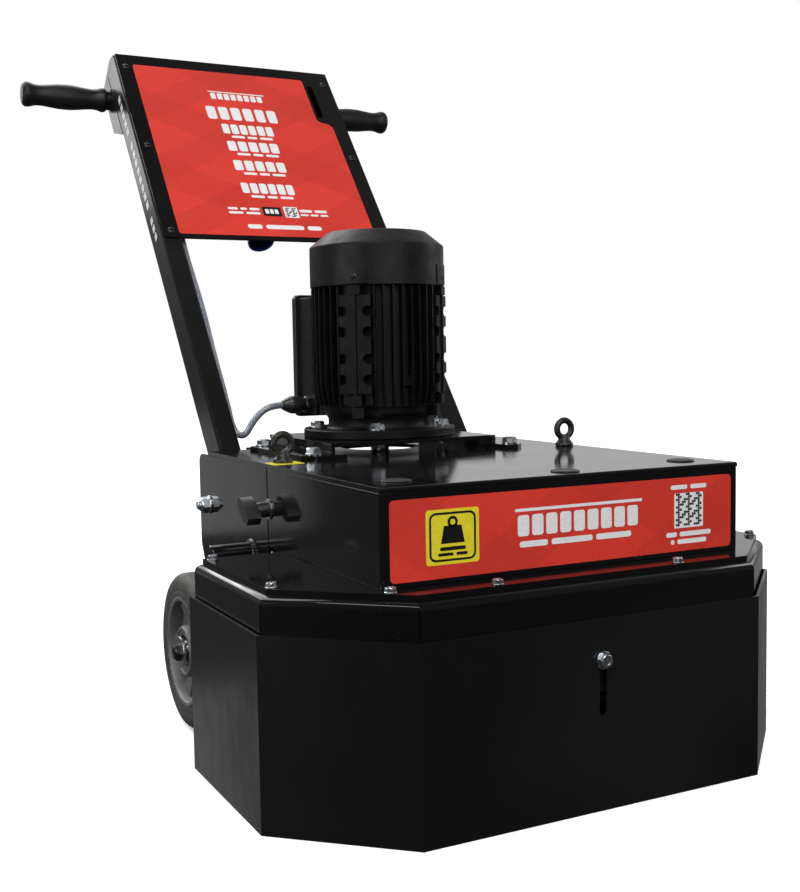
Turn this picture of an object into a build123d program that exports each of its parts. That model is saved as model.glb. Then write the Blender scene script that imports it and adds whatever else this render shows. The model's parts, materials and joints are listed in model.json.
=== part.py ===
from build123d import *
import os
from math import cos, pi, radians, sin, tan

# A walk-behind, twin-head floor grinder, in millimetres.
# +Z is up, +Y points back towards the operator, and +X is to the right as seen from the front.
# The origin is on the floor, midway along the machine's length and width.
# "left" is the -X side and "right" the +X side.

os.makedirs("parts", exist_ok=True)

# ---------------------------------------------------------------- driving dimensions
FRONT = -573.56  # y of the skirt's front face; the other lengths run back from it
SHEET = 3.0  # folded covers and skirt
TOUCH = 0.3  # gap between faces of bodies that move past each other
RUNNING = 0.05  # radial clearance of a shaft in its bore

HEAD_HALF_WIDTH = 317.5
HEAD_FRONT_HALF = 200.8
HEAD_CHAMFER = 107.8
HEAD_DEPTH = 318.7
SKIRT_TOP = 192.2
SKIRT_REAR_TOP = 170.0
SKIRT_LIFT = 50.0
GUIDE_HEIGHT = 151.0
GUIDE_SLOT_RADIUS = 4.3

PAN_INSET = 5.0
PAN_BOTTOM = 118.0
PAN_TOP = 228.0
PAN_BEND = 9.0
PAN_LIP_INSET = 45.0
BASE_INSET = 12.5
BASE_THICKNESS = 6.0
BASE_TOP = PAN_TOP + BASE_THICKNESS
BASE_REAR = FRONT + 510.0
SCREW_RADIUS = 3.0
BASE_SCREWS = [
    (-212.0, 36.5), (-108.0, 19.0), (108.0, 19.0), (-297.5, 117.0), (297.5, 117.0),
    (-297.5, 294.0), (297.5, 294.0),
]

BOX_HALF = 215.6
BOX_FRONT = FRONT + 48.9
COVER_END = FRONT + 341.0
SIDE_START = FRONT + 343.0
SIDE_END = FRONT + 597.6
SIDE_THICKNESS = 4.0
SIDE_INNER = BOX_HALF - SIDE_THICKNESS
LID_TOP = 329.3
LID_THICKNESS = 5.0
LID_BOTTOM = LID_TOP - LID_THICKNESS
LID_REAR = FRONT + 590.0
NOTCH_START = FRONT + 555.0
NOTCH_INNER = 152.0
PLUGS = [(-175.0, 94.0), (8.0, 74.0), (175.0, 94.0)]
PLUG_RADIUS = 15.0
EYE_X = 195.0
EYE_Y = FRONT + 344.0

WHEEL_Y = FRONT + 462.0
WHEEL_RADIUS = 95.0
RIM_RADIUS = 66.0
WHEEL_INNER = 236.0
WHEEL_OUTER = 286.0
AXLE_RADIUS = 12.5

STUB_Y = FRONT + 398.5
STUB_Z = 221.0
STUB_RADIUS = 11.5
STUB_END = 268.0

KNOB_Y = FRONT + 337.5
KNOB_Z = 278.0
KNOB_STUD = 4.0
KNOB_TURN = 55.0

SPINDLE_X = 125.0
SPINDLE_Y = FRONT + 160.0
SPINDLE_RADIUS = 15.0
DISC_RADIUS = 120.0
SHOE_HEIGHT = 26.0
BELT_Z = 290.0
BELT_WIDTH = 20.0
BELT_THICKNESS = 4.5
HEAD_PULLEY_RADIUS = 60.0
MOTOR_PULLEY_RADIUS = 40.0

PORT_X = 262.0
PORT_Y = FRONT + 205.0
PORT_RADIUS = 31.5

MOTOR_Y = FRONT + 489.4
BRIDGE_TOP = 345.0
BRIDGE_PLATE = 5.0
BRIDGE_HALF = 116.0
BRIDGE_FRONT = FRONT + 385.0
BRIDGE_REAR = FRONT + 594.0
FOOT_REACH = {-1: 164.0, 1: 142.0}
FOOT_FRONT = FRONT + 350.0
BRIDGE_BOLT_REACH = {-1: 146.0, 1: 128.0}
BRIDGE_BOLTS_Y = (FRONT + 370.0, FRONT + 537.0)
FLANGE_RADIUS = 100.0
FLANGE_TOP = 356.0
FLANGE_BOLT_CIRCLE = 82.5
FLANGE_BOLT_TURN = 28.0
SHIELD_RADIUS = 68.0
FIN_BOTTOM = 385.0
FIN_TOP = 539.0
FIN_RADIUS = 87.0
FRAME_RADIUS = 78.0
STATOR_RADIUS = 66.0
COWL_RADIUS = 88.0
COWL_SHOULDER = 591.0
COWL_TOP = 610.0
COWL_TOP_RADIUS = 64.0
SHAFT_RADIUS = 12.0
TERMINAL_BOTTOM = 371.0
TERMINAL_TOP = 531.0
TERMINAL_HALF = 56.0
TERMINAL_START = FRONT + 570.0
TERMINAL_FACE = FRONT + 628.0
TERMINAL_LID = 12.0
GLAND_Y = FRONT + 597.0
GLAND_Z = 384.0
GLAND_LENGTH = 40.0

PIVOT_Y = FRONT + 556.8
PIVOT_Z = 259.9
PIVOT_RADIUS = 6.0
LEAN = 38.76  # degrees the handle leans back from upright
UPRIGHT_INNER = 162.0
UPRIGHT_OUTER = 192.0
TUBE_HALF_DEPTH = 25.0
TUBE_FOOT = -20.0
TUBE_TOP = 871.0
PANEL_HALF = 190.0
PANEL_BOTTOM = 453.0
PANEL_SCREWS = (467.0, 651.4, 840.0)
PANEL_SCREW_X = 176.9
CONTROL_BACK = 64.0
BUTTON_HEIGHT = 804.0
START_X = -45.0
STOP_X = 45.0
START_RADIUS = 11.0
STOP_STEM = 8.0
STOP_RADIUS = 17.0
SWITCH_LEFT = -50.0
SWITCH_RIGHT = 130.0
SWITCH_BOTTOM = 512.0
SWITCH_TOP = 700.0
SWITCH_BACK = 35.0
PANEL_GLAND_HEIGHT = 545.0
PANEL_GLAND_DEPTH = -6.0
INLET_X = -24.0
INLET_END = 474.0
INLET_RADIUS = 21.0
GRIP_HEIGHT = 850.5
GRIP_DEPTH = 53.6
GRIP_START = 196.0
GRIP_END = 334.0
BAR_RADIUS = 11.0

CABLE_RADIUS = 4.5
CABLE_ARC_SHARE = 0.45

# ---------------------------------------------------------------- shared frames and shapes
SIDES = ((-1, "left"), (1, "right"))
HEAD_CORNERS = [
    (-HEAD_FRONT_HALF, FRONT),
    (HEAD_FRONT_HALF, FRONT),
    (HEAD_HALF_WIDTH, FRONT + HEAD_CHAMFER),
    (HEAD_HALF_WIDTH, FRONT + HEAD_DEPTH),
    (-HEAD_HALF_WIDTH, FRONT + HEAD_DEPTH),
    (-HEAD_HALF_WIDTH, FRONT + HEAD_CHAMFER),
]
UP_HANDLE = Vector(0, sin(radians(LEAN)), cos(radians(LEAN)))
BEHIND_HANDLE = Vector(0, cos(radians(LEAN)), -sin(radians(LEAN)))
# local x is X, local y the depth behind the tubes' middle, local z the height along the tubes
HANDLE = Plane(origin=(0, PIVOT_Y, PIVOT_Z), x_dir=(1, 0, 0), z_dir=UP_HANDLE)


def on_handle(x, depth, height):
    """A point given across, behind and along the handle."""
    return HANDLE.from_local_coords(Vector(x, depth, height))


def handle_face(depth):
    """Plane facing the front of the machine: local x is X, local y the height along the handle."""
    return Plane(origin=on_handle(0, depth, 0), x_dir=(1, 0, 0), z_dir=-BEHIND_HANDLE)


def handle_side(x):
    """Plane facing +X: local x is the depth, local y the height along the handle."""
    return Plane(origin=on_handle(x, 0, 0), x_dir=BEHIND_HANDLE, z_dir=(1, 0, 0))


def facing_x(x, y, z, side=1):
    """Plane at a point, facing outwards on the given side, with its local x up."""
    return Plane(origin=(x, y, z), x_dir=(0, 0, 1), z_dir=(side, 0, 0))


def facing_y(x, y, z, side=1):
    """Plane at a point, facing backwards (side 1) or forwards (side -1), with its local x up."""
    return Plane(origin=(x, y, z), x_dir=(0, 0, 1), z_dir=(0, side, 0))


def level(x, y, z):
    """Plane at a point, facing up."""
    return Plane(origin=(x, y, z))


def head_plan(inset):
    """Draw the grinding head's plan in the open sketch, inset from the skirt's outer face."""
    Polygon(*HEAD_CORNERS, align=None)
    if inset:
        offset(amount=-inset, kind=Kind.INTERSECTION)


def disc(plane, radius, thickness, bore=0.0, mode=Mode.ADD):
    """Extrude a disc, or a ring where it has a bore, from the plane into the open part."""
    with BuildSketch(plane) as outline:
        Circle(radius)
        if bore:
            Circle(bore, mode=Mode.SUBTRACT)
    extrude(outline.sketch, amount=thickness, mode=mode)


def hexagon(plane, across_flats, thickness):
    """Extrude a hexagon from the plane into the open part."""
    with BuildSketch(plane) as outline:
        RegularPolygon(across_flats / 2, 6, major_radius=False)
    extrude(outline.sketch, amount=thickness)


def block(plane, low, high, thickness, mode=Mode.ADD):
    """Extrude a rectangle between two local corners from the plane into the open part."""
    with BuildSketch(plane) as outline:
        with Locations(((low[0] + high[0]) / 2, (low[1] + high[1]) / 2)):
            Rectangle(high[0] - low[0], high[1] - low[1])
    extrude(outline.sketch, amount=thickness, mode=mode)


def hex_bolt(plane, across_flats, head, shank_radius, shank, washer_radius, washer):
    """Add a bolt whose washer sits on the plane and whose shank runs back through it."""
    disc(plane, washer_radius, washer)
    hexagon(plane.offset(washer), across_flats, head)
    disc(plane.offset(-shank), shank_radius, shank)


def save(piece, name):
    """Label a finished piece and write it to its own STEP file."""
    piece.part.label = name
    export_step(piece.part, f"parts/{name}.step")


# ---------------------------------------------------------------- grinding head shell
def build_skirt():
    """Floating skirt: a bottomless sheet ring that slides up on two guide bolts."""
    with BuildPart() as skirt:
        with BuildSketch():
            head_plan(0)
        extrude(amount=SKIRT_TOP)
        with BuildSketch():
            head_plan(SHEET)
        extrude(amount=SKIRT_TOP, mode=Mode.SUBTRACT)
        rear = FRONT + HEAD_DEPTH
        lowered = level(0, rear - SHEET, SKIRT_REAR_TOP)
        inner_half = HEAD_HALF_WIDTH - SHEET
        block(lowered, (-inner_half, 0), (inner_half, SHEET), SKIRT_TOP, mode=Mode.SUBTRACT)
        slot_low = GUIDE_HEIGHT - SKIRT_LIFT - 1.5
        slot_high = GUIDE_HEIGHT + 1.0
        slot_middle = (slot_low + slot_high) / 2
        for y, side in ((FRONT + SHEET, -1), (rear - SHEET, 1)):
            with BuildSketch(facing_y(0, y, slot_middle, side)):
                SlotCenterToCenter(slot_high - slot_low, 2 * GUIDE_SLOT_RADIUS)
            extrude(amount=SHEET, mode=Mode.SUBTRACT)
    save(skirt, "skirt")


def build_guide_bolts():
    """Bolts that the skirt slides on, one in front and one behind."""
    shank = 12.0
    with BuildPart() as bolts:
        for y, side in ((FRONT, -1), (FRONT + HEAD_DEPTH, 1)):
            plane = facing_y(0, y + side * TOUCH, GUIDE_HEIGHT, side)
            hex_bolt(plane, 13.0, 5.5, 4.0, shank, 9.0, 1.6)
    save(bolts, "skirt_guide_bolts")


def build_dust_pan():
    """Hood over the grinding discs, with a rounded top edge and an open middle."""
    with BuildPart() as pan:
        with BuildSketch(Plane.XY.offset(PAN_BOTTOM)):
            head_plan(PAN_INSET)
        extrude(amount=PAN_TOP - PAN_BOTTOM)
        fillet(pan.faces().sort_by(Axis.Z)[-1].edges(), radius=PAN_BEND)
        with BuildSketch(Plane.XY.offset(PAN_BOTTOM)):
            head_plan(PAN_INSET + SHEET)
        extrude(amount=PAN_TOP - PAN_BOTTOM - SHEET, mode=Mode.SUBTRACT)
        with BuildSketch(Plane.XY.offset(PAN_BOTTOM)):
            head_plan(PAN_LIP_INSET)
        extrude(amount=PAN_TOP - PAN_BOTTOM, mode=Mode.SUBTRACT)
        disc(level(PORT_X, PORT_Y, PAN_BOTTOM), PORT_RADIUS - SHEET, PAN_TOP, mode=Mode.SUBTRACT)
        for x, y in BASE_SCREWS:
            disc(level(x, FRONT + y, PAN_BOTTOM), SCREW_RADIUS, PAN_TOP, mode=Mode.SUBTRACT)
        for y, side in ((FRONT + PAN_INSET - 1, 1), (FRONT + HEAD_DEPTH - PAN_INSET + 1, -1)):
            disc(facing_y(0, y, GUIDE_HEIGHT, side), 4.0, SHEET + 2, mode=Mode.SUBTRACT)
    save(pan, "dust_pan")


def build_base_plate():
    """Thick plate that closes the hood and carries spindles, box and side plates."""
    with BuildPart() as base:
        with BuildSketch(Plane.XY.offset(PAN_TOP)):
            head_plan(BASE_INSET)
        extrude(amount=BASE_THICKNESS)
        block(level(0, 0, PAN_TOP), (-SIDE_INNER, SPINDLE_Y), (SIDE_INNER, BASE_REAR), BASE_THICKNESS)
        for side, _ in SIDES:
            hole = level(side * SPINDLE_X, SPINDLE_Y, PAN_TOP)
            disc(hole, 45.0, BASE_THICKNESS, mode=Mode.SUBTRACT)
        disc(level(PORT_X, PORT_Y, PAN_TOP), PORT_RADIUS - SHEET, BASE_THICKNESS, mode=Mode.SUBTRACT)
        for x, y in BASE_SCREWS:
            disc(level(x, FRONT + y, PAN_TOP), SCREW_RADIUS, BASE_THICKNESS, mode=Mode.SUBTRACT)
    save(base, "base_plate")


def build_base_screws():
    """Hexagon screws that hold the base plate to the hood."""
    with BuildPart() as screws:
        for x, y in BASE_SCREWS:
            hex_bolt(level(x, FRONT + y, BASE_TOP), 10.0, 4.0, SCREW_RADIUS, 14.0, 6.2, 1.2)
    save(screws, "base_screws")


def build_dust_port():
    """Spigot for the extraction hose, welded over a hole in the base plate."""
    with BuildPart() as port:
        disc(level(PORT_X, PORT_Y, BASE_TOP), 40.0, SHEET, PORT_RADIUS - SHEET)
        disc(level(PORT_X, PORT_Y, BASE_TOP), PORT_RADIUS, 56.0, PORT_RADIUS - SHEET)
    save(port, "dust_port")


# ---------------------------------------------------------------- belt box and chassis
def build_side_plates():
    """Side plates: rear half of the box's sides, carrying the axle and the handle pivot."""
    bottom = 68.0
    outline = [
        (SIDE_START, LID_BOTTOM),
        (SIDE_END, LID_BOTTOM),
        (SIDE_END, 205.0),
        (WHEEL_Y + 58.0, bottom),
        (WHEEL_Y - 58.0, bottom),
        (SIDE_START, 180.0),
    ]
    for side, name in SIDES:
        with BuildPart() as plate:
            with BuildSketch(Plane.YZ.offset(side * (BOX_HALF - SIDE_THICKNESS / 2))):
                Polygon(*outline, align=None)
                corner = vertices().sort_by(lambda v: v.Y + v.Z)[-1]
                fillet(corner, radius=12.0)
            extrude(amount=SIDE_THICKNESS / 2, both=True)
            tab = Plane.YZ.offset(side * (SIDE_INNER - SHEET / 2))
            block(tab, (KNOB_Y - 18, KNOB_Z - 20), (KNOB_Y + 40, KNOB_Z + 20), SHEET / 2)
            block(tab, (KNOB_Y - 18, KNOB_Z - 20), (KNOB_Y + 40, KNOB_Z + 20), -SHEET / 2)
            inside = side * (SIDE_INNER - 2 * SHEET)
            for y, z, radius in (
                (WHEEL_Y, WHEEL_RADIUS, AXLE_RADIUS),
                (PIVOT_Y, PIVOT_Z, PIVOT_RADIUS),
                (KNOB_Y, KNOB_Z, KNOB_STUD + RUNNING),
            ):
                disc(facing_x(inside, y, z, side), radius, 30.0, mode=Mode.SUBTRACT)
        save(plate, f"side_plate_{name}")


def build_front_cover():
    """Removable U-shaped cover: front and forward sides of the belt box."""
    with BuildPart() as cover:
        with BuildSketch(Plane.XY.offset(BASE_TOP)):
            with BuildLine():
                Polyline(
                    (-BOX_HALF, COVER_END),
                    (-BOX_HALF, BOX_FRONT),
                    (BOX_HALF, BOX_FRONT),
                    (BOX_HALF, COVER_END),
                    (-BOX_HALF, COVER_END),
                )
            make_face()
            fillet(vertices().group_by(Axis.Y)[0], radius=SHEET)
            with Locations((0, (BOX_FRONT + SHEET + COVER_END + SHEET) / 2)):
                inner_depth = COVER_END - BOX_FRONT
                Rectangle(2 * (BOX_HALF - SHEET), inner_depth, mode=Mode.SUBTRACT)
        extrude(amount=LID_BOTTOM - BASE_TOP)
        notch = KNOB_STUD + 0.5
        for side, _ in SIDES:
            plane = facing_x(side * (BOX_HALF - 2 * SHEET), KNOB_Y, KNOB_Z, side)
            disc(plane, notch, 3 * SHEET, mode=Mode.SUBTRACT)
            end = (COVER_END - KNOB_Y) * -side
            low, high = sorted((0.0, end * 2))
            block(plane, (-notch, low), (notch, high), 3 * SHEET, mode=Mode.SUBTRACT)
    save(cover, "front_cover")


def build_top_plate():
    """Lid of the belt box, notched at the back for the handle's tubes."""
    with BuildPart() as lid:
        with BuildSketch(Plane.XY.offset(LID_BOTTOM)):
            Polygon(
                (-BOX_HALF, BOX_FRONT), (BOX_HALF, BOX_FRONT), (BOX_HALF, NOTCH_START),
                (NOTCH_INNER, NOTCH_START), (NOTCH_INNER, LID_REAR), (-NOTCH_INNER, LID_REAR),
                (-NOTCH_INNER, NOTCH_START), (-BOX_HALF, NOTCH_START), align=None,
            )
        extrude(amount=LID_THICKNESS)
        front_edge = lid.faces().sort_by(Axis.Z)[-1].edges().sort_by(Axis.Y)[0]
        fillet(front_edge, radius=2.5)
        disc(level(0, MOTOR_Y, LID_BOTTOM), 52.0, LID_THICKNESS, mode=Mode.SUBTRACT)
        for x, y in PLUGS:
            disc(level(x, FRONT + y, LID_BOTTOM), 12.0, LID_THICKNESS, mode=Mode.SUBTRACT)
        for side, _ in SIDES:
            disc(level(side * EYE_X, EYE_Y, LID_BOTTOM), 5.0, LID_THICKNESS, mode=Mode.SUBTRACT)
            for y in BRIDGE_BOLTS_Y:
                hole = level(side * BRIDGE_BOLT_REACH[side], y, LID_BOTTOM)
                disc(hole, 5.0, LID_THICKNESS, mode=Mode.SUBTRACT)
    save(lid, "top_plate")


def build_top_plugs():
    """Rubber plugs over the greasing holes in the lid."""
    with BuildPart() as plugs:
        for x, y in PLUGS:
            disc(level(x, FRONT + y, LID_BOTTOM), 12.0, LID_THICKNESS)
            disc(level(x, FRONT + y, LID_TOP), PLUG_RADIUS, 2.0)
    save(plugs, "top_plugs")


def build_lifting_eyes():
    """Forged lifting eyes screwed through the lid."""
    ring_z = LID_TOP + 22.0
    with BuildPart() as eyes:
        for side, _ in SIDES:
            x = side * EYE_X
            disc(level(x, EYE_Y, LID_BOTTOM - 15.0), 5.0, 15.0 + LID_THICKNESS)
            disc(level(x, EYE_Y, LID_TOP), 11.5, 4.0)
            with BuildSketch(level(x, EYE_Y, LID_TOP + 4.0)) as foot:
                Circle(9.5)
            with BuildSketch(level(x, EYE_Y, LID_TOP + 11.0)) as neck:
                Circle(5.0)
            loft([foot.sketch, neck.sketch])
            disc(facing_y(x, EYE_Y - 4.5, ring_z), 15.0, 9.0)
            disc(facing_y(x, EYE_Y - 14.0, ring_z), 7.0, 28.0, mode=Mode.SUBTRACT)
        rims = eyes.edges().filter_by(GeomType.CIRCLE)
        rims = rims.filter_by(lambda edge: abs(edge.arc_center.Z - ring_z) < 1 and edge.radius > 14)
        fillet(rims, radius=2.5)
    save(eyes, "lifting_eyes")


def build_lashing_stubs():
    """Round stubs welded to the side plates, for lashing and lifting the machine."""
    with BuildPart() as stubs:
        for side, _ in SIDES:
            root = facing_x(side * BOX_HALF, STUB_Y, STUB_Z, side)
            disc(root, STUB_RADIUS, STUB_END - BOX_HALF)
    save(stubs, "lashing_stubs")


# ---------------------------------------------------------------- wheels
def build_axle():
    """Through axle between the wheels, with its end bolts, washers and spacers."""
    with BuildPart() as axle:
        start = facing_x(-WHEEL_OUTER - TOUCH, WHEEL_Y, WHEEL_RADIUS)
        disc(start, AXLE_RADIUS, 2 * (WHEEL_OUTER + TOUCH))
    save(axle, "wheel_axle")
    with BuildPart() as fasteners:
        for side, _ in SIDES:
            face = facing_x(side * (WHEEL_OUTER + TOUCH), WHEEL_Y, WHEEL_RADIUS, side)
            disc(face, 19.0, 3.0)
            hexagon(face.offset(3.0), 19.0, 8.0)
            root = facing_x(side * BOX_HALF, WHEEL_Y, WHEEL_RADIUS, side)
            disc(root, 19.0, WHEEL_INNER - TOUCH - BOX_HALF, AXLE_RADIUS)
    save(fasteners, "axle_fasteners")


def build_wheels():
    """Cast spoked wheels with solid rubber tyres."""
    width = WHEEL_OUTER - WHEEL_INNER
    spokes = 5
    for side, name in SIDES:
        inner = facing_x(side * WHEEL_INNER, WHEEL_Y, WHEEL_RADIUS, side)
        with BuildPart() as hub:
            disc(inner, RIM_RADIUS, width, RIM_RADIUS - 7.0)
            disc(inner, 27.0, width, AXLE_RADIUS + RUNNING)
            disc(inner.offset(width / 2 - 4.0), RIM_RADIUS - 5.0, 8.0, 25.0)
            with BuildSketch(inner.offset(width / 2 - 18.0)):
                with PolarLocations(44.0, spokes):
                    Rectangle(36.0, 9.0)
            extrude(amount=36.0)
        save(hub, f"wheel_hub_{name}")
        with BuildPart() as tyre:
            disc(inner, WHEEL_RADIUS, width, RIM_RADIUS)
            rims = tyre.edges().filter_by(GeomType.CIRCLE)
            fillet(rims.filter_by(lambda edge: edge.radius > RIM_RADIUS + 1), radius=8.0)
        save(tyre, f"tyre_{name}")


# ---------------------------------------------------------------- cover knobs
def build_cover_knobs():
    """Wing knobs that clamp the cover's sides."""
    for side, name in SIDES:
        face = facing_x(side * (BOX_HALF + TOUCH), KNOB_Y, KNOB_Z, side)
        with BuildPart() as knob:
            disc(face.offset(-11.0), KNOB_STUD, 11.0)
            disc(face, 12.0, 1.5)
            disc(face.offset(1.5), 9.0, 14.0)
            with BuildSketch(face.offset(15.5)):
                SlotOverall(38.0, 17.0, rotation=KNOB_TURN)
            extrude(amount=16.0)
        save(knob, f"cover_knob_{name}")


# ---------------------------------------------------------------- spindles, heads and belt
def build_spindle_housings():
    """Flanged bearing housings under the base plate."""
    with BuildPart() as housings:
        for side, _ in SIDES:
            x = side * SPINDLE_X
            disc(level(x, SPINDLE_Y, 150.0), 45.0, 90.0)
            disc(level(x, SPINDLE_Y, 218.0), 65.0, PAN_TOP - 218.0)
            disc(level(x, SPINDLE_Y, 150.0), 22.0, 90.0, mode=Mode.SUBTRACT)
            for z in (150.0, 214.0):
                disc(level(x, SPINDLE_Y, z), 31.0, 26.0, mode=Mode.SUBTRACT)
    save(housings, "spindle_housings")


def build_bearings():
    """Ball bearings of the two spindles and of the motor."""
    with BuildPart() as bearings:
        for side, _ in SIDES:
            for z in (160.0, 214.0):
                seat = level(side * SPINDLE_X, SPINDLE_Y, z)
                disc(seat, 31.0, 16.0, SPINDLE_RADIUS + RUNNING)
        for z in (360.0, 541.0):
            disc(level(0, MOTOR_Y, z), 26.0, 15.0, SHAFT_RADIUS + RUNNING)
    save(bearings, "bearings")


def pulley(x, y, groove_radius, bore, top):
    """Add a flanged belt pulley to the open part, with its hub reaching up to top."""
    bottom = BELT_Z - BELT_WIDTH / 2 - 2.0
    height = BELT_WIDTH + 4.0
    disc(level(x, y, bottom), groove_radius, height, bore)
    for z in (bottom, bottom + height - 2.0):
        disc(level(x, y, z), groove_radius + 5.0, 2.0, bore)
    disc(level(x, y, bottom + height), bore + 10.0, top - bottom - height, bore)


def build_heads():
    """Spindles with their pulleys, grinding discs and diamond shoes."""
    shoe_count = 3
    for side, name in SIDES:
        x = side * SPINDLE_X
        with BuildPart() as spindle:
            disc(level(x, SPINDLE_Y, 58.0), SPINDLE_RADIUS, 250.0)
            disc(level(x, SPINDLE_Y, 58.0), 45.0, 12.0)
        save(spindle, f"spindle_{name}")
        with BuildPart() as wheel:
            pulley(x, SPINDLE_Y, HEAD_PULLEY_RADIUS, SPINDLE_RADIUS, 306.0)
        save(wheel, f"head_pulley_{name}")
        with BuildPart() as plate:
            disc(level(x, SPINDLE_Y, SHOE_HEIGHT), DISC_RADIUS, 12.0)
            disc(level(x, SPINDLE_Y, SHOE_HEIGHT + 12.0), 45.0, 20.0)
        save(plate, f"grinding_plate_{name}")
        with BuildPart() as shoes:
            with BuildSketch(level(x, SPINDLE_Y, 14.0)):
                with PolarLocations(88.0, shoe_count, start_angle=30):
                    Trapezoid(62.0, 38.0, 78.0, rotation=90)
            extrude(amount=SHOE_HEIGHT - 14.0)
            with BuildSketch(level(x, SPINDLE_Y, 0)):
                with PolarLocations(88.0, shoe_count, start_angle=30):
                    with Locations((0, -17.0), (0, 17.0)):
                        Rectangle(24.0, 12.0)
            extrude(amount=14.0)
        save(shoes, f"diamond_shoes_{name}")


def build_drive_belt():
    """One ribbed belt round the motor pulley and both head pulleys."""
    wheels = [
        (-SPINDLE_X, SPINDLE_Y, HEAD_PULLEY_RADIUS),
        (SPINDLE_X, SPINDLE_Y, HEAD_PULLEY_RADIUS),
        (0, MOTOR_Y, MOTOR_PULLEY_RADIUS),
    ]
    floor = Plane.XY.offset(BELT_Z - BELT_WIDTH / 2 + TOUCH)
    height = BELT_WIDTH - 2 * TOUCH
    with BuildPart() as belt:
        with BuildSketch(floor):
            for x, y, radius in wheels:
                with Locations((x, y)):
                    Circle(radius + TOUCH + BELT_THICKNESS)
            make_hull()
        extrude(amount=height)
        with BuildSketch(floor):
            for x, y, radius in wheels:
                with Locations((x, y)):
                    Circle(radius + TOUCH)
            make_hull()
        extrude(amount=height, mode=Mode.SUBTRACT)
    save(belt, "drive_belt")


# ---------------------------------------------------------------- motor
def flange_bolt_places():
    """Where the motor's four flange bolts stand, seen from above."""
    places = []
    for quarter in range(4):
        turn = radians(FLANGE_BOLT_TURN + 90.0 * quarter)
        x = -FLANGE_BOLT_CIRCLE * sin(turn)
        places.append((x, MOTOR_Y - FLANGE_BOLT_CIRCLE * cos(turn)))
    return places


def build_motor_bridge():
    """Folded bracket that lifts the motor clear of the lid."""
    with BuildPart() as bridge:
        top = level(0, 0, BRIDGE_TOP - BRIDGE_PLATE)
        block(top, (-BRIDGE_HALF, BRIDGE_FRONT), (BRIDGE_HALF, BRIDGE_REAR), BRIDGE_PLATE)
        for side, _ in SIDES:
            leg = sorted((side * BRIDGE_HALF, side * (BRIDGE_HALF - BRIDGE_PLATE)))
            foot = sorted((side * (BRIDGE_HALF - BRIDGE_PLATE), side * FOOT_REACH[side]))
            floor = level(0, 0, LID_TOP)
            rise = BRIDGE_TOP - BRIDGE_PLATE - LID_TOP
            block(floor, (leg[0], BRIDGE_FRONT), (leg[1], LID_REAR), rise)
            block(floor, (foot[0], FOOT_FRONT), (foot[1], NOTCH_START - 1.0), BRIDGE_PLATE)
            corners = bridge.edges().filter_by(Axis.Z)
            corners = corners.filter_by(lambda edge: edge.center().X * side > FOOT_REACH[side] - 1)
            chamfer(corners, length=14.0)
            for y in BRIDGE_BOLTS_Y:
                hole = level(side * BRIDGE_BOLT_REACH[side], y, LID_TOP)
                disc(hole, 5.0, BRIDGE_PLATE, mode=Mode.SUBTRACT)
        disc(level(0, MOTOR_Y, LID_TOP), 55.0, 20.0, mode=Mode.SUBTRACT)
        for x, y in flange_bolt_places():
            disc(level(x, y, BRIDGE_TOP - BRIDGE_PLATE), 5.0, BRIDGE_PLATE, mode=Mode.SUBTRACT)
    save(bridge, "motor_bridge")


def build_motor_bolts():
    """Bolts through the bracket's feet and through the motor's flange."""
    with BuildPart() as bolts:
        for side, _ in SIDES:
            for y in BRIDGE_BOLTS_Y:
                seat = level(side * BRIDGE_BOLT_REACH[side], y, LID_TOP + BRIDGE_PLATE)
                hex_bolt(seat, 16.0, 6.5, 5.0, 24.0, 10.0, 2.0)
        for x, y in flange_bolt_places():
            hex_bolt(level(x, y, FLANGE_TOP), 16.0, 6.5, 5.0, 25.0, 10.0, 2.0)
            hexagon(level(x, y, BRIDGE_TOP - BRIDGE_PLATE - 8.0), 16.0, 8.0)
    save(bolts, "motor_bolts")


def build_motor_flange():
    """Mounting flange and drive-end shield of the motor."""
    with BuildPart() as flange:
        disc(level(0, MOTOR_Y, BRIDGE_TOP), FLANGE_RADIUS, FLANGE_TOP - BRIDGE_TOP)
        disc(level(0, MOTOR_Y, FLANGE_TOP), SHIELD_RADIUS, FIN_BOTTOM - FLANGE_TOP)
        disc(level(0, MOTOR_Y, BRIDGE_TOP), SHAFT_RADIUS + 3.0, 50.0, mode=Mode.SUBTRACT)
        disc(level(0, MOTOR_Y, 360.0), 26.0, 50.0, mode=Mode.SUBTRACT)
        disc(level(0, MOTOR_Y, 376.0), SHIELD_RADIUS - 8.0, 50.0, mode=Mode.SUBTRACT)
        for x, y in flange_bolt_places():
            disc(level(x, y, BRIDGE_TOP), 5.0, FLANGE_TOP - BRIDGE_TOP, mode=Mode.SUBTRACT)
    save(flange, "motor_flange")


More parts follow.
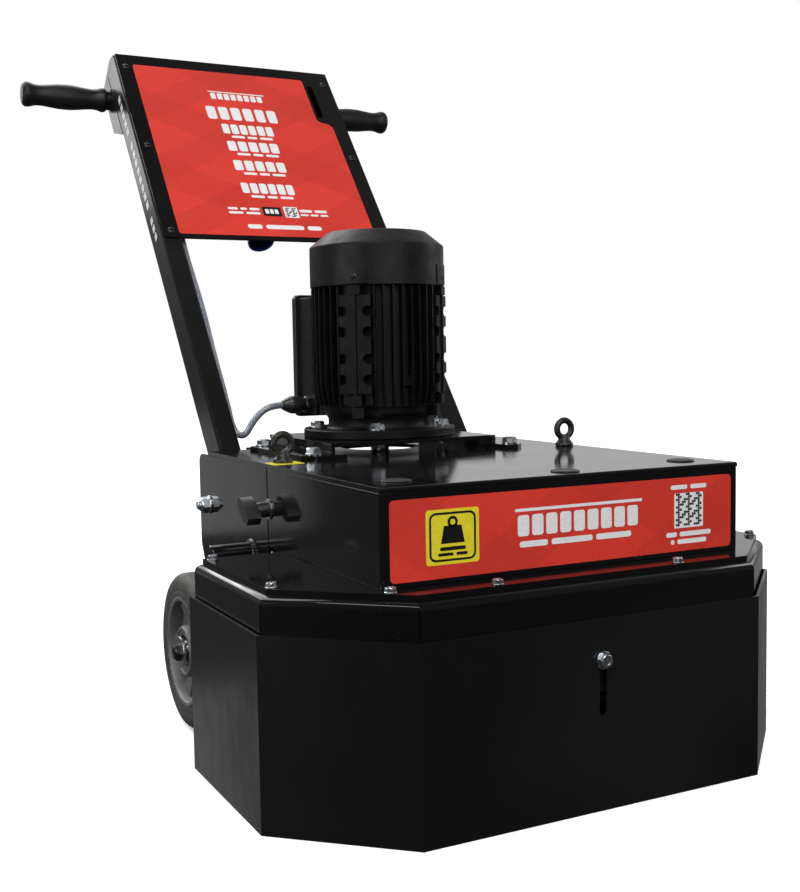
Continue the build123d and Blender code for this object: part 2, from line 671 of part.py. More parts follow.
def build_motor_body():
    """Finned frame of the motor with its fan-end shield."""
    fins = 40
    fin_depth = FIN_RADIUS - FRAME_RADIUS + 2.0
    with BuildPart() as body:
        with BuildSketch(level(0, MOTOR_Y, FIN_BOTTOM)):
            Circle(FRAME_RADIUS)
            with PolarLocations(FIN_RADIUS - fin_depth / 2, fins):
                Rectangle(fin_depth, 2.6)
        extrude(amount=FIN_TOP - FIN_BOTTOM)
        disc(level(0, MOTOR_Y, FIN_TOP), 74.0, 12.0)
        disc(level(0, MOTOR_Y, FIN_BOTTOM), STATOR_RADIUS, 146.0, mode=Mode.SUBTRACT)
        disc(level(0, MOTOR_Y, 520.0), SHAFT_RADIUS + 3.0, 60.0, mode=Mode.SUBTRACT)
        disc(level(0, MOTOR_Y, 541.0), 26.0, 20.0, mode=Mode.SUBTRACT)
        seat = level(0, 0, TERMINAL_BOTTOM - 5.0)
        height = TERMINAL_TOP - TERMINAL_BOTTOM + 10.0
        half = TERMINAL_HALF + 4.0
        block(seat, (-half, TERMINAL_START), (half, TERMINAL_FACE), height, mode=Mode.SUBTRACT)
    save(body, "motor_body")


def build_stator_core():
    """Stacked and wound stator inside the frame."""
    with BuildPart() as stator:
        disc(level(0, MOTOR_Y, 400.0), STATOR_RADIUS, 118.0, 38.5)
    save(stator, "stator_core")


def build_rotor():
    """Motor shaft with its rotor core, the cooling fan and the belt pulley."""
    blades = 7
    with BuildPart() as shaft:
        disc(level(0, MOTOR_Y, 282.0), SHAFT_RADIUS, 300.0)
        disc(level(0, MOTOR_Y, 404.0), 38.0, 110.0)
    save(shaft, "rotor_shaft")
    with BuildPart() as fan:
        disc(level(0, MOTOR_Y, 562.0), 72.0, 3.0, SHAFT_RADIUS)
        disc(level(0, MOTOR_Y, 562.0), 20.0, 20.0, SHAFT_RADIUS)
        with BuildSketch(level(0, MOTOR_Y, 564.0)):
            with PolarLocations(45.0, blades):
                Rectangle(52.0, 3.0)
        extrude(amount=16.0)
    save(fan, "cooling_fan")
    with BuildPart() as wheel:
        pulley(0, MOTOR_Y, MOTOR_PULLEY_RADIUS, SHAFT_RADIUS, 322.0)
    save(wheel, "motor_pulley")


def build_fan_cowl():
    """Pressed cover over the cooling fan, with a grille on top."""
    wall = 2.0
    slant = tan(radians(22.5)) * wall
    with BuildPart() as cowl:
        with BuildSketch(Plane(origin=(0, MOTOR_Y, 0), x_dir=(1, 0, 0), z_dir=(0, -1, 0))):
            with BuildLine():
                Polyline(
                    (COWL_RADIUS, FIN_TOP + TOUCH),
                    (COWL_RADIUS, COWL_SHOULDER),
                    (COWL_TOP_RADIUS, COWL_TOP),
                    (0, COWL_TOP),
                    (0, COWL_TOP - wall),
                    (COWL_TOP_RADIUS - slant, COWL_TOP - wall),
                    (COWL_RADIUS - wall, COWL_SHOULDER - slant),
                    (COWL_RADIUS - wall, FIN_TOP + TOUCH),
                    (COWL_RADIUS, FIN_TOP + TOUCH),
                )
            make_face()
        revolve(axis=Axis((0, MOTOR_Y, 0), (0, 0, 1)))
        with BuildSketch(level(0, MOTOR_Y, COWL_TOP - 4 * wall)):
            for radius, count in ((18.0, 8), (32.0, 14), (46.0, 20)):
                with PolarLocations(radius, count):
                    Circle(4.0)
        extrude(amount=6 * wall, mode=Mode.SUBTRACT)
    save(cowl, "fan_cowl")


def build_terminal_box():
    """Terminal box on the back of the motor, with its lid and cable gland."""
    wall = 4.0
    height = TERMINAL_TOP - TERMINAL_BOTTOM
    floor = level(0, 0, TERMINAL_BOTTOM)
    with BuildPart() as box:
        block(floor, (-TERMINAL_HALF, TERMINAL_START), (TERMINAL_HALF, TERMINAL_FACE), height)
        low = (-TERMINAL_HALF + wall, TERMINAL_START + wall)
        high = (TERMINAL_HALF - wall, TERMINAL_FACE)
        block(floor.offset(wall), low, high, height - 2 * wall, mode=Mode.SUBTRACT)
    save(box, "terminal_box")
    with BuildPart() as lid:
        lip = 5.0
        low = (-TERMINAL_HALF - lip, TERMINAL_FACE)
        high = (TERMINAL_HALF + lip, TERMINAL_FACE + TERMINAL_LID)
        block(floor.offset(-lip), low, high, height + 2 * lip)
        fillet(lid.edges().filter_by(Axis.Y), radius=7.0)
    save(lid, "terminal_box_lid")
    with BuildPart() as gland:
        root = facing_x(-TERMINAL_HALF, GLAND_Y, GLAND_Z, -1)
        cable_gland(root)
    save(gland, "motor_gland")


def cable_gland(root):
    """Add a cable gland to the open part, standing on the root plane."""
    hexagon(root, 22.0, 7.0)
    disc(root.offset(7.0), 9.5, 8.0)
    hexagon(root.offset(15.0), 22.0, 13.0)
    disc(root.offset(28.0), 10.0, GLAND_LENGTH - 28.0)


# ---------------------------------------------------------------- handle
def build_uprights():
    """Box-section uprights that pivot on the side plates."""
    wall = 3.0
    for side, name in SIDES:
        low, high = sorted((side * UPRIGHT_INNER, side * UPRIGHT_OUTER))
        with BuildPart() as upright:
            length = TUBE_TOP - TUBE_FOOT
            foot = HANDLE.offset(TUBE_FOOT)
            block(foot, (low, -TUBE_HALF_DEPTH), (high, TUBE_HALF_DEPTH), length)
            inner_low = (low + wall, -TUBE_HALF_DEPTH + wall)
            inner_high = (high - wall, TUBE_HALF_DEPTH - wall)
            block(foot, inner_low, inner_high, length - wall, mode=Mode.SUBTRACT)
            disc(facing_x(low, PIVOT_Y, PIVOT_Z), 10.0, high - low)
            bore = facing_x(low - 1, PIVOT_Y, PIVOT_Z)
            disc(bore, PIVOT_RADIUS + RUNNING, high - low + 2, mode=Mode.SUBTRACT)
            for height in PANEL_SCREWS:
                with BuildSketch(handle_face(-TUBE_HALF_DEPTH + wall)):
                    with Locations((side * PANEL_SCREW_X, height)):
                        Circle(2.5)
                extrude(amount=wall, mode=Mode.SUBTRACT)
        save(upright, f"upright_{name}")


def build_pivot_bolts():
    """Bolts, nuts and spacers that the handle pivots on."""
    with BuildPart() as bolts:
        for side, _ in SIDES:
            outside = facing_x(side * BOX_HALF, PIVOT_Y, PIVOT_Z, side)
            reach = BOX_HALF - UPRIGHT_INNER + 6.0
            disc(outside, 12.0, 2.2)
            hexagon(outside.offset(2.2), 19.0, 11.5)
            disc(outside.offset(-reach), PIVOT_RADIUS, reach + 17.0)
            inside = facing_x(side * (UPRIGHT_INNER - TOUCH), PIVOT_Y, PIVOT_Z, -side)
            disc(inside, 12.0, 2.2)
            hexagon(inside.offset(2.2), 19.0, 8.0)
            spacer = facing_x(side * (UPRIGHT_OUTER + TOUCH), PIVOT_Y, PIVOT_Z, side)
            disc(spacer, 10.0, SIDE_INNER - UPRIGHT_OUTER - TOUCH, PIVOT_RADIUS)
    save(bolts, "pivot_bolts")


def build_crossbar():
    """Box-section brace welded between the uprights."""
    with BuildPart() as crossbar:
        brace = handle_side(-UPRIGHT_INNER)
        block(brace, (-5.0, 702.0), (25.0, 732.0), 2 * UPRIGHT_INNER)
        block(brace, (-2.0, 705.0), (22.0, 729.0), 2 * UPRIGHT_INNER, mode=Mode.SUBTRACT)
    save(crossbar, "handle_crossbar")


def build_dash_panel():
    """Sheet panel screwed to the front of the uprights, with a lip along its top."""
    middle = (PANEL_BOTTOM + TUBE_TOP) / 2
    with BuildPart() as panel:
        with BuildSketch(handle_face(-TUBE_HALF_DEPTH)):
            with Locations((0, middle)):
                Rectangle(2 * PANEL_HALF, TUBE_TOP - PANEL_BOTTOM)
            fillet(vertices().group_by(Axis.Y)[0], radius=8.0)
            with Locations((148.0, 791.5)):
                SlotOverall(81.0, 11.0, rotation=90, mode=Mode.SUBTRACT)
            for height in PANEL_SCREWS:
                with Locations((-PANEL_SCREW_X, height), (PANEL_SCREW_X, height)):
                    Circle(2.5, mode=Mode.SUBTRACT)
        extrude(amount=SHEET)
        lip_half = UPRIGHT_INNER - 4.0
        lip = HANDLE.offset(TUBE_TOP - SHEET)
        block(lip, (-lip_half, -TUBE_HALF_DEPTH - 1.0), (lip_half, -3.0), SHEET)
    save(panel, "dash_panel")


def build_dash_screws():
    """Button-head screws that hold the panel."""
    with BuildPart() as screws:
        for side, _ in SIDES:
            for height in PANEL_SCREWS:
                face = handle_face(-TUBE_HALF_DEPTH - SHEET)
                spot = face.offset(0)
                spot.origin = on_handle(side * PANEL_SCREW_X, -TUBE_HALF_DEPTH - SHEET, height)
                disc(spot, 5.5, 2.6)
                disc(spot.offset(-2 * SHEET), 2.5, 2 * SHEET)
    save(screws, "dash_screws")


def build_control_box():
    """Folded housing across the back of the handle's top, holding the push buttons."""
    wall = 2.0
    outline = [
        (TUBE_HALF_DEPTH, 734.0), (CONTROL_BACK, 781.0), (CONTROL_BACK, 830.0), (56.0, 885.0),
        (-2.0, 887.0), (-22.0, 874.0), (-22.0, TUBE_TOP), (TUBE_HALF_DEPTH, TUBE_TOP),
    ]
    with BuildPart() as housing:
        with BuildSketch(handle_side(-UPRIGHT_OUTER)):
            Polygon(*outline, align=None)
        extrude(amount=2 * UPRIGHT_OUTER)
        with BuildSketch(handle_side(-UPRIGHT_OUTER + wall)):
            Polygon(*outline[:4], (TUBE_HALF_DEPTH, 885.0), align=None)
            offset(amount=-wall, kind=Kind.INTERSECTION)
        extrude(amount=2 * (UPRIGHT_OUTER - wall), mode=Mode.SUBTRACT)
        with BuildSketch(handle_face(CONTROL_BACK + 1)):
            with Locations((START_X, BUTTON_HEIGHT)):
                Circle(START_RADIUS + TOUCH)
            with Locations((STOP_X, BUTTON_HEIGHT)):
                Circle(STOP_STEM + TOUCH)
        extrude(amount=wall + 2, mode=Mode.SUBTRACT)
    save(housing, "control_box")



def build_buttons():
    """Start button and mushroom stop button, pressed towards the front of the machine."""
    behind = Plane(origin=on_handle(0, 0, 0), x_dir=(-1, 0, 0), z_dir=BEHIND_HANDLE)
    for name, x in (("start", START_X), ("stop", STOP_X)):
        stem = behind.offset(0)
        stem.origin = on_handle(x, CONTROL_BACK - 10.0, BUTTON_HEIGHT)
        with BuildPart() as button:
            if name == "start":
                disc(stem, START_RADIUS, 15.0)
            else:
                disc(stem, STOP_STEM, 16.0)
                disc(stem.offset(16.0), STOP_RADIUS, 9.0)
            fillet(button.faces().sort_by(Axis(stem.origin, BEHIND_HANDLE))[-1].edges(), radius=2.0)
        save(button, f"{name}_button")


def build_switch_box():
    """Motor starter's enclosure behind the panel, with its supply inlet and cable gland."""
    wall = 3.0
    height = SWITCH_TOP - SWITCH_BOTTOM
    floor = HANDLE.offset(SWITCH_BOTTOM)
    with BuildPart() as box:
        block(floor, (SWITCH_LEFT, -TUBE_HALF_DEPTH), (SWITCH_RIGHT, SWITCH_BACK), height)
        low = (SWITCH_LEFT + wall, -TUBE_HALF_DEPTH + wall)
        high = (SWITCH_RIGHT - wall, SWITCH_BACK - wall)
        block(floor.offset(wall), low, high, height - 2 * wall, mode=Mode.SUBTRACT)
    save(box, "switch_box")
    with BuildPart() as inlet:
        length = SWITCH_BOTTOM - INLET_END
        mouth = HANDLE.offset(INLET_END)
        mouth.origin = on_handle(INLET_X, 0, INLET_END)
        disc(mouth, INLET_RADIUS, length)
        disc(mouth, INLET_RADIUS - 3.5, length - 8.0, mode=Mode.SUBTRACT)
        with BuildSketch(mouth.offset(6.0)):
            with PolarLocations(11.0, 3, start_angle=90):
                Circle(2.2)
        extrude(amount=length - 8.0)
    save(inlet, "power_inlet")
    with BuildPart() as gland:
        root = facing_x(SWITCH_LEFT, 0, 0, -1)
        root.origin = on_handle(SWITCH_LEFT, PANEL_GLAND_DEPTH, PANEL_GLAND_HEIGHT)
        cable_gland(root)
    save(gland, "panel_gland")


def build_grips():
    """Handlebar stubs and the rubber grips on them."""
    with BuildPart() as bars:
        for side, _ in SIDES:
            root = facing_x(side * UPRIGHT_OUTER, 0, 0, side)
            root.origin = on_handle(side * UPRIGHT_OUTER, GRIP_DEPTH, GRIP_HEIGHT)
            disc(root, BAR_RADIUS, GRIP_END - UPRIGHT_OUTER - 8.0)
            disc(root, 16.0, GRIP_START - UPRIGHT_OUTER)
    save(bars, "handlebar")
    for side, name in SIDES:
        middle = on_handle(0, GRIP_DEPTH, GRIP_HEIGHT)
        with BuildPart() as grip:
            with BuildSketch(Plane(origin=middle, x_dir=(side, 0, 0), z_dir=BEHIND_HANDLE)):
                with BuildLine():
                    outer = Spline(
                        (GRIP_START, 18.0), (202.0, 20.0), (218.0, 16.6), (262.0, 20.5),
                        (308.0, 16.8), (GRIP_END - 8.0, 20.2),
                    )
                    nose = TangentArc(outer @ 1, (GRIP_END, 14.0), tangent=outer % 1)
                    Polyline(
                        nose @ 1, (GRIP_END, 0), (GRIP_END - 8.0, 0), (GRIP_END - 8.0, BAR_RADIUS),
                        (GRIP_START, BAR_RADIUS), outer @ 0,
                    )
                make_face()
            revolve(axis=Axis(middle, (1, 0, 0)))
        save(grip, f"grip_{name}")


# ---------------------------------------------------------------- motor cable
def build_motor_cable():
    """Sheathed lead from the motor's gland, down to the lid and up along the left upright."""
    start = Vector(-TERMINAL_HALF - GLAND_LENGTH, GLAND_Y, GLAND_Z)
    end = on_handle(SWITCH_LEFT - GLAND_LENGTH, PANEL_GLAND_DEPTH, PANEL_GLAND_HEIGHT)
    route = [
        start,
        start + Vector(-20, 0, 0),
        Vector(-136, FRONT + 600, 366),
        Vector(-149, FRONT + 604, 341),
        Vector(-157, FRONT + 628, 350),
        Vector(-157, FRONT + 655, 395),
        Vector(-157, FRONT + 700, 451),
        Vector(-155, FRONT + 750, 517),
        Vector(-157, FRONT + 795, 575),
        Vector(-157, FRONT + 822, 606),
        Vector(-154, FRONT + 858, 647),
        Vector(-140, FRONT + 884, 677),
        end + Vector(-26, 0, 0),
        end,
    ]
    radii = []
    for before, here, after in zip(route, route[1:], route[2:]):
        turn = (here - before).get_angle(after - here)
        shorter = min((here - before).length, (after - here).length)
        radii.append(CABLE_ARC_SHARE * shorter / tan(radians(turn / 2)))
    with BuildPart() as cable:
        with BuildLine() as path:
            FilletPolyline(*route, radius=radii)
        with BuildSketch(Plane(origin=path.line @ 0, z_dir=path.line % 0)):
            Circle(CABLE_RADIUS)
        sweep()
    save(cable, "motor_cable")
    section = pi * CABLE_RADIUS**2
    print("cable radii", [round(radius, 1) for radius in radii])
    length = sum(edge.length for edge in path.edges())
    print("cable length", round(length, 1), "by volume", round(cable.part.volume / section, 1))


build_skirt()
build_guide_bolts()
build_dust_pan()
build_base_plate()
build_base_screws()
build_dust_port()
build_side_plates()
build_front_cover()
build_top_plate()
build_top_plugs()
build_lifting_eyes()
build_lashing_stubs()
build_axle()
build_wheels()
build_cover_knobs()
build_spindle_housings()
build_bearings()
build_heads()
build_drive_belt()
build_motor_bridge()
build_motor_bolts()
build_motor_flange()
build_motor_body()
build_stator_core()
build_rotor()
build_fan_cowl()
build_terminal_box()
build_uprights()
build_pivot_bolts()
build_crossbar()
build_dash_panel()
build_dash_screws()
build_control_box()
build_buttons()
build_switch_box()
build_grips()
build_motor_cable()
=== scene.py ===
import json
import math

import bmesh
import bpy
from mathutils import Matrix, Vector


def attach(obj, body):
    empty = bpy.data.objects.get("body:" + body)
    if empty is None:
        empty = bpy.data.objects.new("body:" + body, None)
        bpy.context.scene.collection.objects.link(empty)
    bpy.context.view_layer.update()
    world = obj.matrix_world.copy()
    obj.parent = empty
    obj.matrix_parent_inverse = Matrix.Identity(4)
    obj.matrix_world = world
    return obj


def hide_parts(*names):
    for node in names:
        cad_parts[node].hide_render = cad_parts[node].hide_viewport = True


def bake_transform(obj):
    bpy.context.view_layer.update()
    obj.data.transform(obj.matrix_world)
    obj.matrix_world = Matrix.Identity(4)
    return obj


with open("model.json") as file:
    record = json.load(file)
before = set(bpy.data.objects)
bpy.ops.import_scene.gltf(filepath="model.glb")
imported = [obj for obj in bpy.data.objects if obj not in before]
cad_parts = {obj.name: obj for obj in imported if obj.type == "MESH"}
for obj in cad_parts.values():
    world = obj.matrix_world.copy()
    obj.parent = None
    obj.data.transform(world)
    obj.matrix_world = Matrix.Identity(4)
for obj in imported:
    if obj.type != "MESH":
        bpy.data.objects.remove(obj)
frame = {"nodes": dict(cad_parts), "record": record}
scene = bpy.context.scene
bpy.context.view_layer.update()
NODES = frame["nodes"]
BODY_OF = {n: body for body, group in frame["record"]["behaviour"]["bodies"].items() for n in group}
SLOT_OF = {part["node"]: part["material_slot"] for part in frame["record"]["subparts"]}
STOOD_FOR = {"motor_cable"}

# ---- sizes, in mm as the part has them
MM = 0.001
FRONT = -573.56
BOX_HALF = 215.6
BOX_FRONT = FRONT + 48.9
BASE_TOP = 234
LID_TOP = 329.3
MOTOR_Y = FRONT + 489.4
BRIDGE_TOP, FLANGE_TOP = 334.3, 356
BOLT_CIRCLE = 82.5
COWL_LOW = 539.3
WHEEL_Y, WHEEL_Z = FRONT + 462, 95
WHEEL_INSIDE, WASHER_INSIDE = 236, 286.3
PIVOT_Y, PIVOT_Z = FRONT + 556.8, 259.9
LEAN = math.radians(38.76)
TUBE_INSIDE, TUBE_OUTSIDE = 162, 192
PANEL_FACE = -28
BUTTON_DEPTH, BUTTON_HEIGHT = 54, 804
GRIP_DEPTH, GRIP_HEIGHT = 53.6, 850.5
SWITCH_LEFT = -50
GLAND_Y, GLAND_Z = FRONT + 597, 384
PANEL_GLAND_DEPTH, PANEL_GLAND_HEIGHT = -6, 545
KNOB_Y, KNOB_Z = FRONT + 337.5, 278
KNOB_TURN = math.radians(55)
STUB_Y, STUB_Z = FRONT + 398.5, 221
EYE_X, EYE_Y = 195, FRONT + 344
QUARTERS = (45, 135, 225, 315)
FILM, PRINT = (0.02, 0.3), (0.28, 0.42)
HEAD_CORNERS = [
    (-200.8, FRONT), (200.8, FRONT), (317.5, FRONT + 107.8),
    (317.5, FRONT + 318.7), (-317.5, FRONT + 318.7), (-317.5, FRONT + 107.8),
]
BASE_SCREWS = [(-212, 36.5)] + [
    (side * x, y) for x, y in ((108, 19), (297.5, 117), (297.5, 294)) for side in (-1, 1)]
SIDES = ((-1, "left"), (1, "right"))

WORLD = Matrix.Scale(MM, 4)
UP_HANDLE = Vector((0, math.sin(LEAN), math.cos(LEAN)))
BEHIND_HANDLE = Vector((0, math.cos(LEAN), -math.sin(LEAN)))


def new_object(name, data):
    obj = bpy.data.objects.new(name, data)
    scene.collection.objects.link(obj)
    return obj


def frame_of(origin, x_axis, z_axis):
    """Matrix from local millimetres to metres in the row frame; origin is in mm."""
    z = Vector(z_axis).normalized()
    x = Vector(x_axis)
    x = (x - z * x.dot(z)).normalized()
    y = z.cross(x)
    turn = Matrix((x, y, z)).transposed().to_4x4()
    return Matrix.Translation(Vector(origin) * MM) @ turn @ WORLD


def on_handle(x, depth, height):
    """Row frame millimetres of a point given across, behind and along the handle."""
    return Vector((x, PIVOT_Y, PIVOT_Z)) + BEHIND_HANDLE * depth + UP_HANDLE * height


def handle_front(x, depth, height):
    """Frame on the handle facing the machine's front: local x is X, local y runs up the handle."""
    return frame_of(on_handle(x, depth, height), (1, 0, 0), -BEHIND_HANDLE)


def handle_back(x, depth, height):
    """Frame on the handle facing the operator."""
    return frame_of(on_handle(x, depth, height), (-1, 0, 0), BEHIND_HANDLE)


# local x is X, local y the depth behind the tubes, local z the height along them
ALONG_HANDLE = frame_of(on_handle(0, 0, 0), (1, 0, 0), UP_HANDLE)


def facing_x(x, y, z, side):
    """Frame facing outwards on one side, with its local x up."""
    return frame_of((x, y, z), (0, 0, 1), (side, 0, 0))


def level(x, y, z):
    return frame_of((x, y, z), (1, 0, 0), (0, 0, 1))


# ---- camera
YAW, PITCH, ROLL = math.radians(26.895), math.radians(4.516), math.radians(-0.966)
forward = Vector((math.sin(YAW) * math.cos(PITCH), math.cos(YAW) * math.cos(PITCH), -math.sin(PITCH)))
side_axis = Vector((math.cos(YAW), -math.sin(YAW), 0))
up_axis = side_axis.cross(forward)
right = math.cos(ROLL) * side_axis + math.sin(ROLL) * up_axis
up = -math.sin(ROLL) * side_axis + math.cos(ROLL) * up_axis
lens = bpy.data.cameras.new("camera")
lens.lens = 47.667
lens.sensor_width = 36.0
lens.clip_end = 100.0
camera = new_object("camera", lens)
facing = Matrix((right, up, -forward)).transposed().to_4x4()
camera.matrix_world = Matrix.Translation((-0.6854, -1.49456, 0.4531)) @ facing
scene.camera = camera


# ---- materials
FINISHES = {}


class Nodes:
    """Short calls for the nodes used here."""

    def __init__(self, tree):
        self.tree = tree

    def node(self, kind, **values):
        made = self.tree.nodes.new("ShaderNode" + kind)
        for key, value in values.items():
            if key in made.inputs:
                made.inputs[key].default_value = value
            else:
                setattr(made, key, value)
        return made

    def feed(self, target, value):
        """Link a socket to an input, or set a number or color on it."""
        if isinstance(value, (int, float)):
            target.default_value = value
        elif isinstance(value, tuple):
            target.default_value = (*value, 1)
        else:
            self.tree.links.new(value, target)

    def ranged(self, value, *limits):
        """Map a value from low and high to 0 and 1, or to two more limits."""
        made = self.node("MapRange")
        for target, number in zip(made.inputs, (value, *limits)):
            self.feed(target, number)
        return made.outputs[0]

    def times(self, first, second, operation="MULTIPLY"):
        made = self.node("Math", operation=operation)
        self.feed(made.inputs[0], first)
        self.feed(made.inputs[1], second)
        return made.outputs[0]

    def mixed(self, fac, first, second):
        made = self.node("Mix", data_type="RGBA")
        for index, value in ((0, fac), (6, first), (7, second)):
            self.feed(made.inputs[index], value)
        return made.outputs[2]


class Finish(Nodes):
    """A Principled material, kept in FINISHES under its name."""

    def __init__(self, name, color, roughness, metallic=0, **sockets):
        self.material = FINISHES[name] = bpy.data.materials.new(name)
        self.material.use_nodes = True
        super().__init__(self.material.node_tree)
        self.shader = self.tree.nodes["Principled BSDF"]
        sockets.update(Base_Color=color, Roughness=roughness, Metallic=metallic)
        for socket, value in sockets.items():
            self.feed(self.shader.inputs[socket.replace("_", " ")], value)

    def texture(self, kind, output, place, **values):
        """Texture over the object, or its UVs; place may hold source, stretch and turn in degrees."""
        coordinates = self.node("TexCoord").outputs[place.get("source", "Object")]
        mapping = self.node("Mapping")
        mapping.inputs["Scale"].default_value = place.get("stretch", (1, 1, 1))
        mapping.inputs["Rotation"].default_value = [math.radians(turn) for turn in place.get("turn", (0, 0, 0))]
        self.feed(mapping.inputs["Vector"], coordinates)
        made = self.node("Tex" + kind, **values)
        self.feed(made.inputs["Vector"], mapping.outputs["Vector"])
        return made.outputs[output]

    def noise(self, scale, detail=3, rough=0.5, **place):
        return self.texture("Noise", "Fac", place, Scale=scale, Detail=detail, Roughness=rough)

    def wave(self, scale, distortion=0, profile="SIN", **place):
        return self.texture("Wave", "Fac", place, Scale=scale, Distortion=distortion, wave_profile=profile)

    def cells(self, scale, **place):
        return self.texture("Voronoi", "Distance", place, Scale=scale)

    def paint(self, color):
        self.feed(self.shader.inputs["Base Color"], color)

    def dull(self, roughness):
        self.feed(self.shader.inputs["Roughness"], roughness)

    def bump(self, *layers):
        """Each layer is (height, strength, distance in metres); they stack."""
        normal = None
        for height, strength, distance in layers:
            made = self.node("Bump", Strength=strength, Distance=distance)
            self.feed(made.inputs["Height"], height)
            if normal is not None:
                self.feed(made.inputs["Normal"], normal)
            normal = made.outputs["Normal"]
        self.feed(self.shader.inputs["Normal"], normal)

    def cloudy(self, noise, color, dark, light, high=0.7):
        """Paint with darker and lighter clouds of one color."""
        self.paint(self.mixed(self.ranged(noise, 0.3, high), shade(color, dark), shade(color, light)))

    def uneven(self, noise, low, high):
        """Vary the roughness between two values."""
        self.dull(self.ranged(noise, 0.3, 0.7, low, high))


def shade(color, factor):
    return tuple(min(1, channel * factor) for channel in color)


def powder_coat(name, color, low, high, peel, **sockets):
    """Powder coat: orange peel, uneven gloss, faint rubbed patches and a few specks of dust."""
    f = Finish(name, color, (low + high) / 2, **sockets)
    patches = f.noise(7, 4, 0.6)
    rub = f.noise(38, 5, 0.65, stretch=(1, 1, 0.35))
    f.dull(f.ranged(f.times(f.times(patches, 0.6), f.times(rub, 0.4), "ADD"), 0.36, 0.66, low, high))
    dust = f.ranged(f.cells(95), 0, 0.075, 0.035, 0)
    lift = f.ranged(f.noise(3.2, 2), 0.35, 0.7)
    tone = f.mixed(lift, shade(color, 0.75), shade(color, 1.35))
    f.paint(f.mixed(dust, tone, (0.55, 0.55, 0.55)))
    f.bump((f.noise(330, 2), peel, 0.0006), (f.noise(1500, 1), peel * 0.5, 0.0002))


def casting(name, color, roughness, grain, metallic=0, **sockets):
    """Cast or enamelled surface with a sandy grain and cloudy tone."""
    f = Finish(name, color, roughness, metallic, **sockets)
    f.cloudy(f.noise(22, 5, 0.6), color, 0.7, 1.4)
    f.uneven(f.noise(60, 4), roughness - 0.08, roughness + 0.12)
    f.bump((f.noise(900, 4, 0.6), grain, 0.0006), (f.noise(180), grain * 0.6, 0.0012))


def plated(name, color, roughness, brush=(1, 1, 1), **sockets):
    """Bare or plated steel with fine tool marks, small stains and uneven brightness."""
    f = Finish(name, color, roughness, 1, **sockets)
    f.cloudy(f.noise(90, 5, 0.65), color, 0.72, 1.15, high=0.75)
    f.uneven(f.noise(240), roughness - 0.07, roughness + 0.12)
    f.bump((f.noise(700, 3, 0.6, stretch=brush), 0.04, 0.0003))


def moulded(name, color, roughness, grain, **sockets):
    """Moulded plastic or rubber with a spark-eroded grain and handling shine."""
    f = Finish(name, color, roughness, **sockets)
    f.cloudy(f.noise(14, 4), color, 0.8, 1.3)
    f.uneven(f.noise(45, 4), roughness - 0.08, roughness + 0.1)
    f.bump((f.cells(1100), grain, 0.0003), (f.noise(420), grain, 0.0004))


powder_coat("gloss_black", (0.0055, 0.0055, 0.0057), 0.06, 0.15, 0.05, Specular_IOR_Level=0.3)
powder_coat("satin_black", (0.009, 0.0092, 0.0093), 0.18, 0.32, 0.09, Specular_IOR_Level=0.22)
casting("motor_black", (0.0075, 0.0077, 0.0082), 0.42, 0.3, Specular_IOR_Level=0.16)
casting("motor_frame_black", (0.0032, 0.0033, 0.0036), 0.42, 0.3, Specular_IOR_Level=0.12)
casting("forged_steel", (0.013, 0.012, 0.0115), 0.3, 0.5, 0.3)
casting("cast_iron", (0.2, 0.2, 0.2), 0.48, 0.4, 0.9)
casting("cast_aluminium", (0.17, 0.17, 0.167), 0.55, 0.3, 0.4)
plated("zinc", (0.5, 0.53, 0.56), 0.3)
plated("bright_steel", (0.5, 0.5, 0.5), 0.28, (0.05, 1, 1))
plated("black_steel", (0.05, 0.05, 0.052), 0.36)
plated("shoe_steel", (0.33, 0.31, 0.28), 0.5)
moulded("rubber_black", (0.008, 0.008, 0.0082), 0.46, 0.28, Specular_IOR_Level=0.3)
moulded("plastic_black", (0.01, 0.01, 0.0105), 0.36, 0.16)
moulded("plastic_blue", (0.012, 0.035, 0.2), 0.33, 0.14)
moulded("plastic_green", (0.02, 0.3, 0.07), 0.26, 0.08)
moulded("plastic_red", (0.52, 0.02, 0.015), 0.26, 0.08)
powder_coat("disc_paint", (0.09, 0.09, 0.1), 0.3, 0.45, 0.2)


f = Finish("tyre_rubber", (0.055, 0.053, 0.051), 0.7)
scuff = f.noise(150, 4, 0.6)
tone = f.mixed(f.ranged(f.noise(16, 6, 0.65), 0.35, 0.7), (0.035, 0.034, 0.033), (0.085, 0.082, 0.078))
f.paint(f.mixed(f.ranged(scuff, 0.62, 0.8, 0, 0.3), tone, (0.16, 0.155, 0.15)))
f.uneven(scuff, 0.58, 0.82)
f.bump((f.noise(500, 4, 0.6), 0.35, 0.0005), (scuff, 0.2, 0.0012))

f = Finish("stator_core", (0.3, 0.2, 0.14), 0.5, 0.8)
sheets = f.wave(300, turn=(0, 90, 0))
f.paint(f.mixed(sheets, (0.12, 0.11, 0.1), (0.42, 0.25, 0.14)))
f.bump((sheets, 0.5, 0.0004))

# steel braid under a clear sheath: crossing strands laid out by the cable's own UVs, with a painted highlight where
# two strands cross
f = Finish("cable_sheath", (0.45, 0.48, 0.52), 0.3, 0.35, Coat_Weight=0.9, Coat_Roughness=0.12)
strands = [f.wave(5.5, 0.25, turn=(0, 0, turn), source="UV") for turn in (45, -45)]
weave = f.times(strands[0], strands[1], "MAXIMUM")
# painted highlight: the product of the two strand waves is brightest where the strands cross, and that is painted
# near-white below
painted_glint = f.times(strands[0], strands[1])
dark = f.mixed(f.ranged(weave, 0.35, 0.95), (0.05, 0.06, 0.085), (0.3, 0.33, 0.4))
f.paint(f.mixed(f.ranged(painted_glint, 0.3, 0.9), dark, (0.72, 0.75, 0.8)))
f.bump((weave, 0.5, 0.0004))


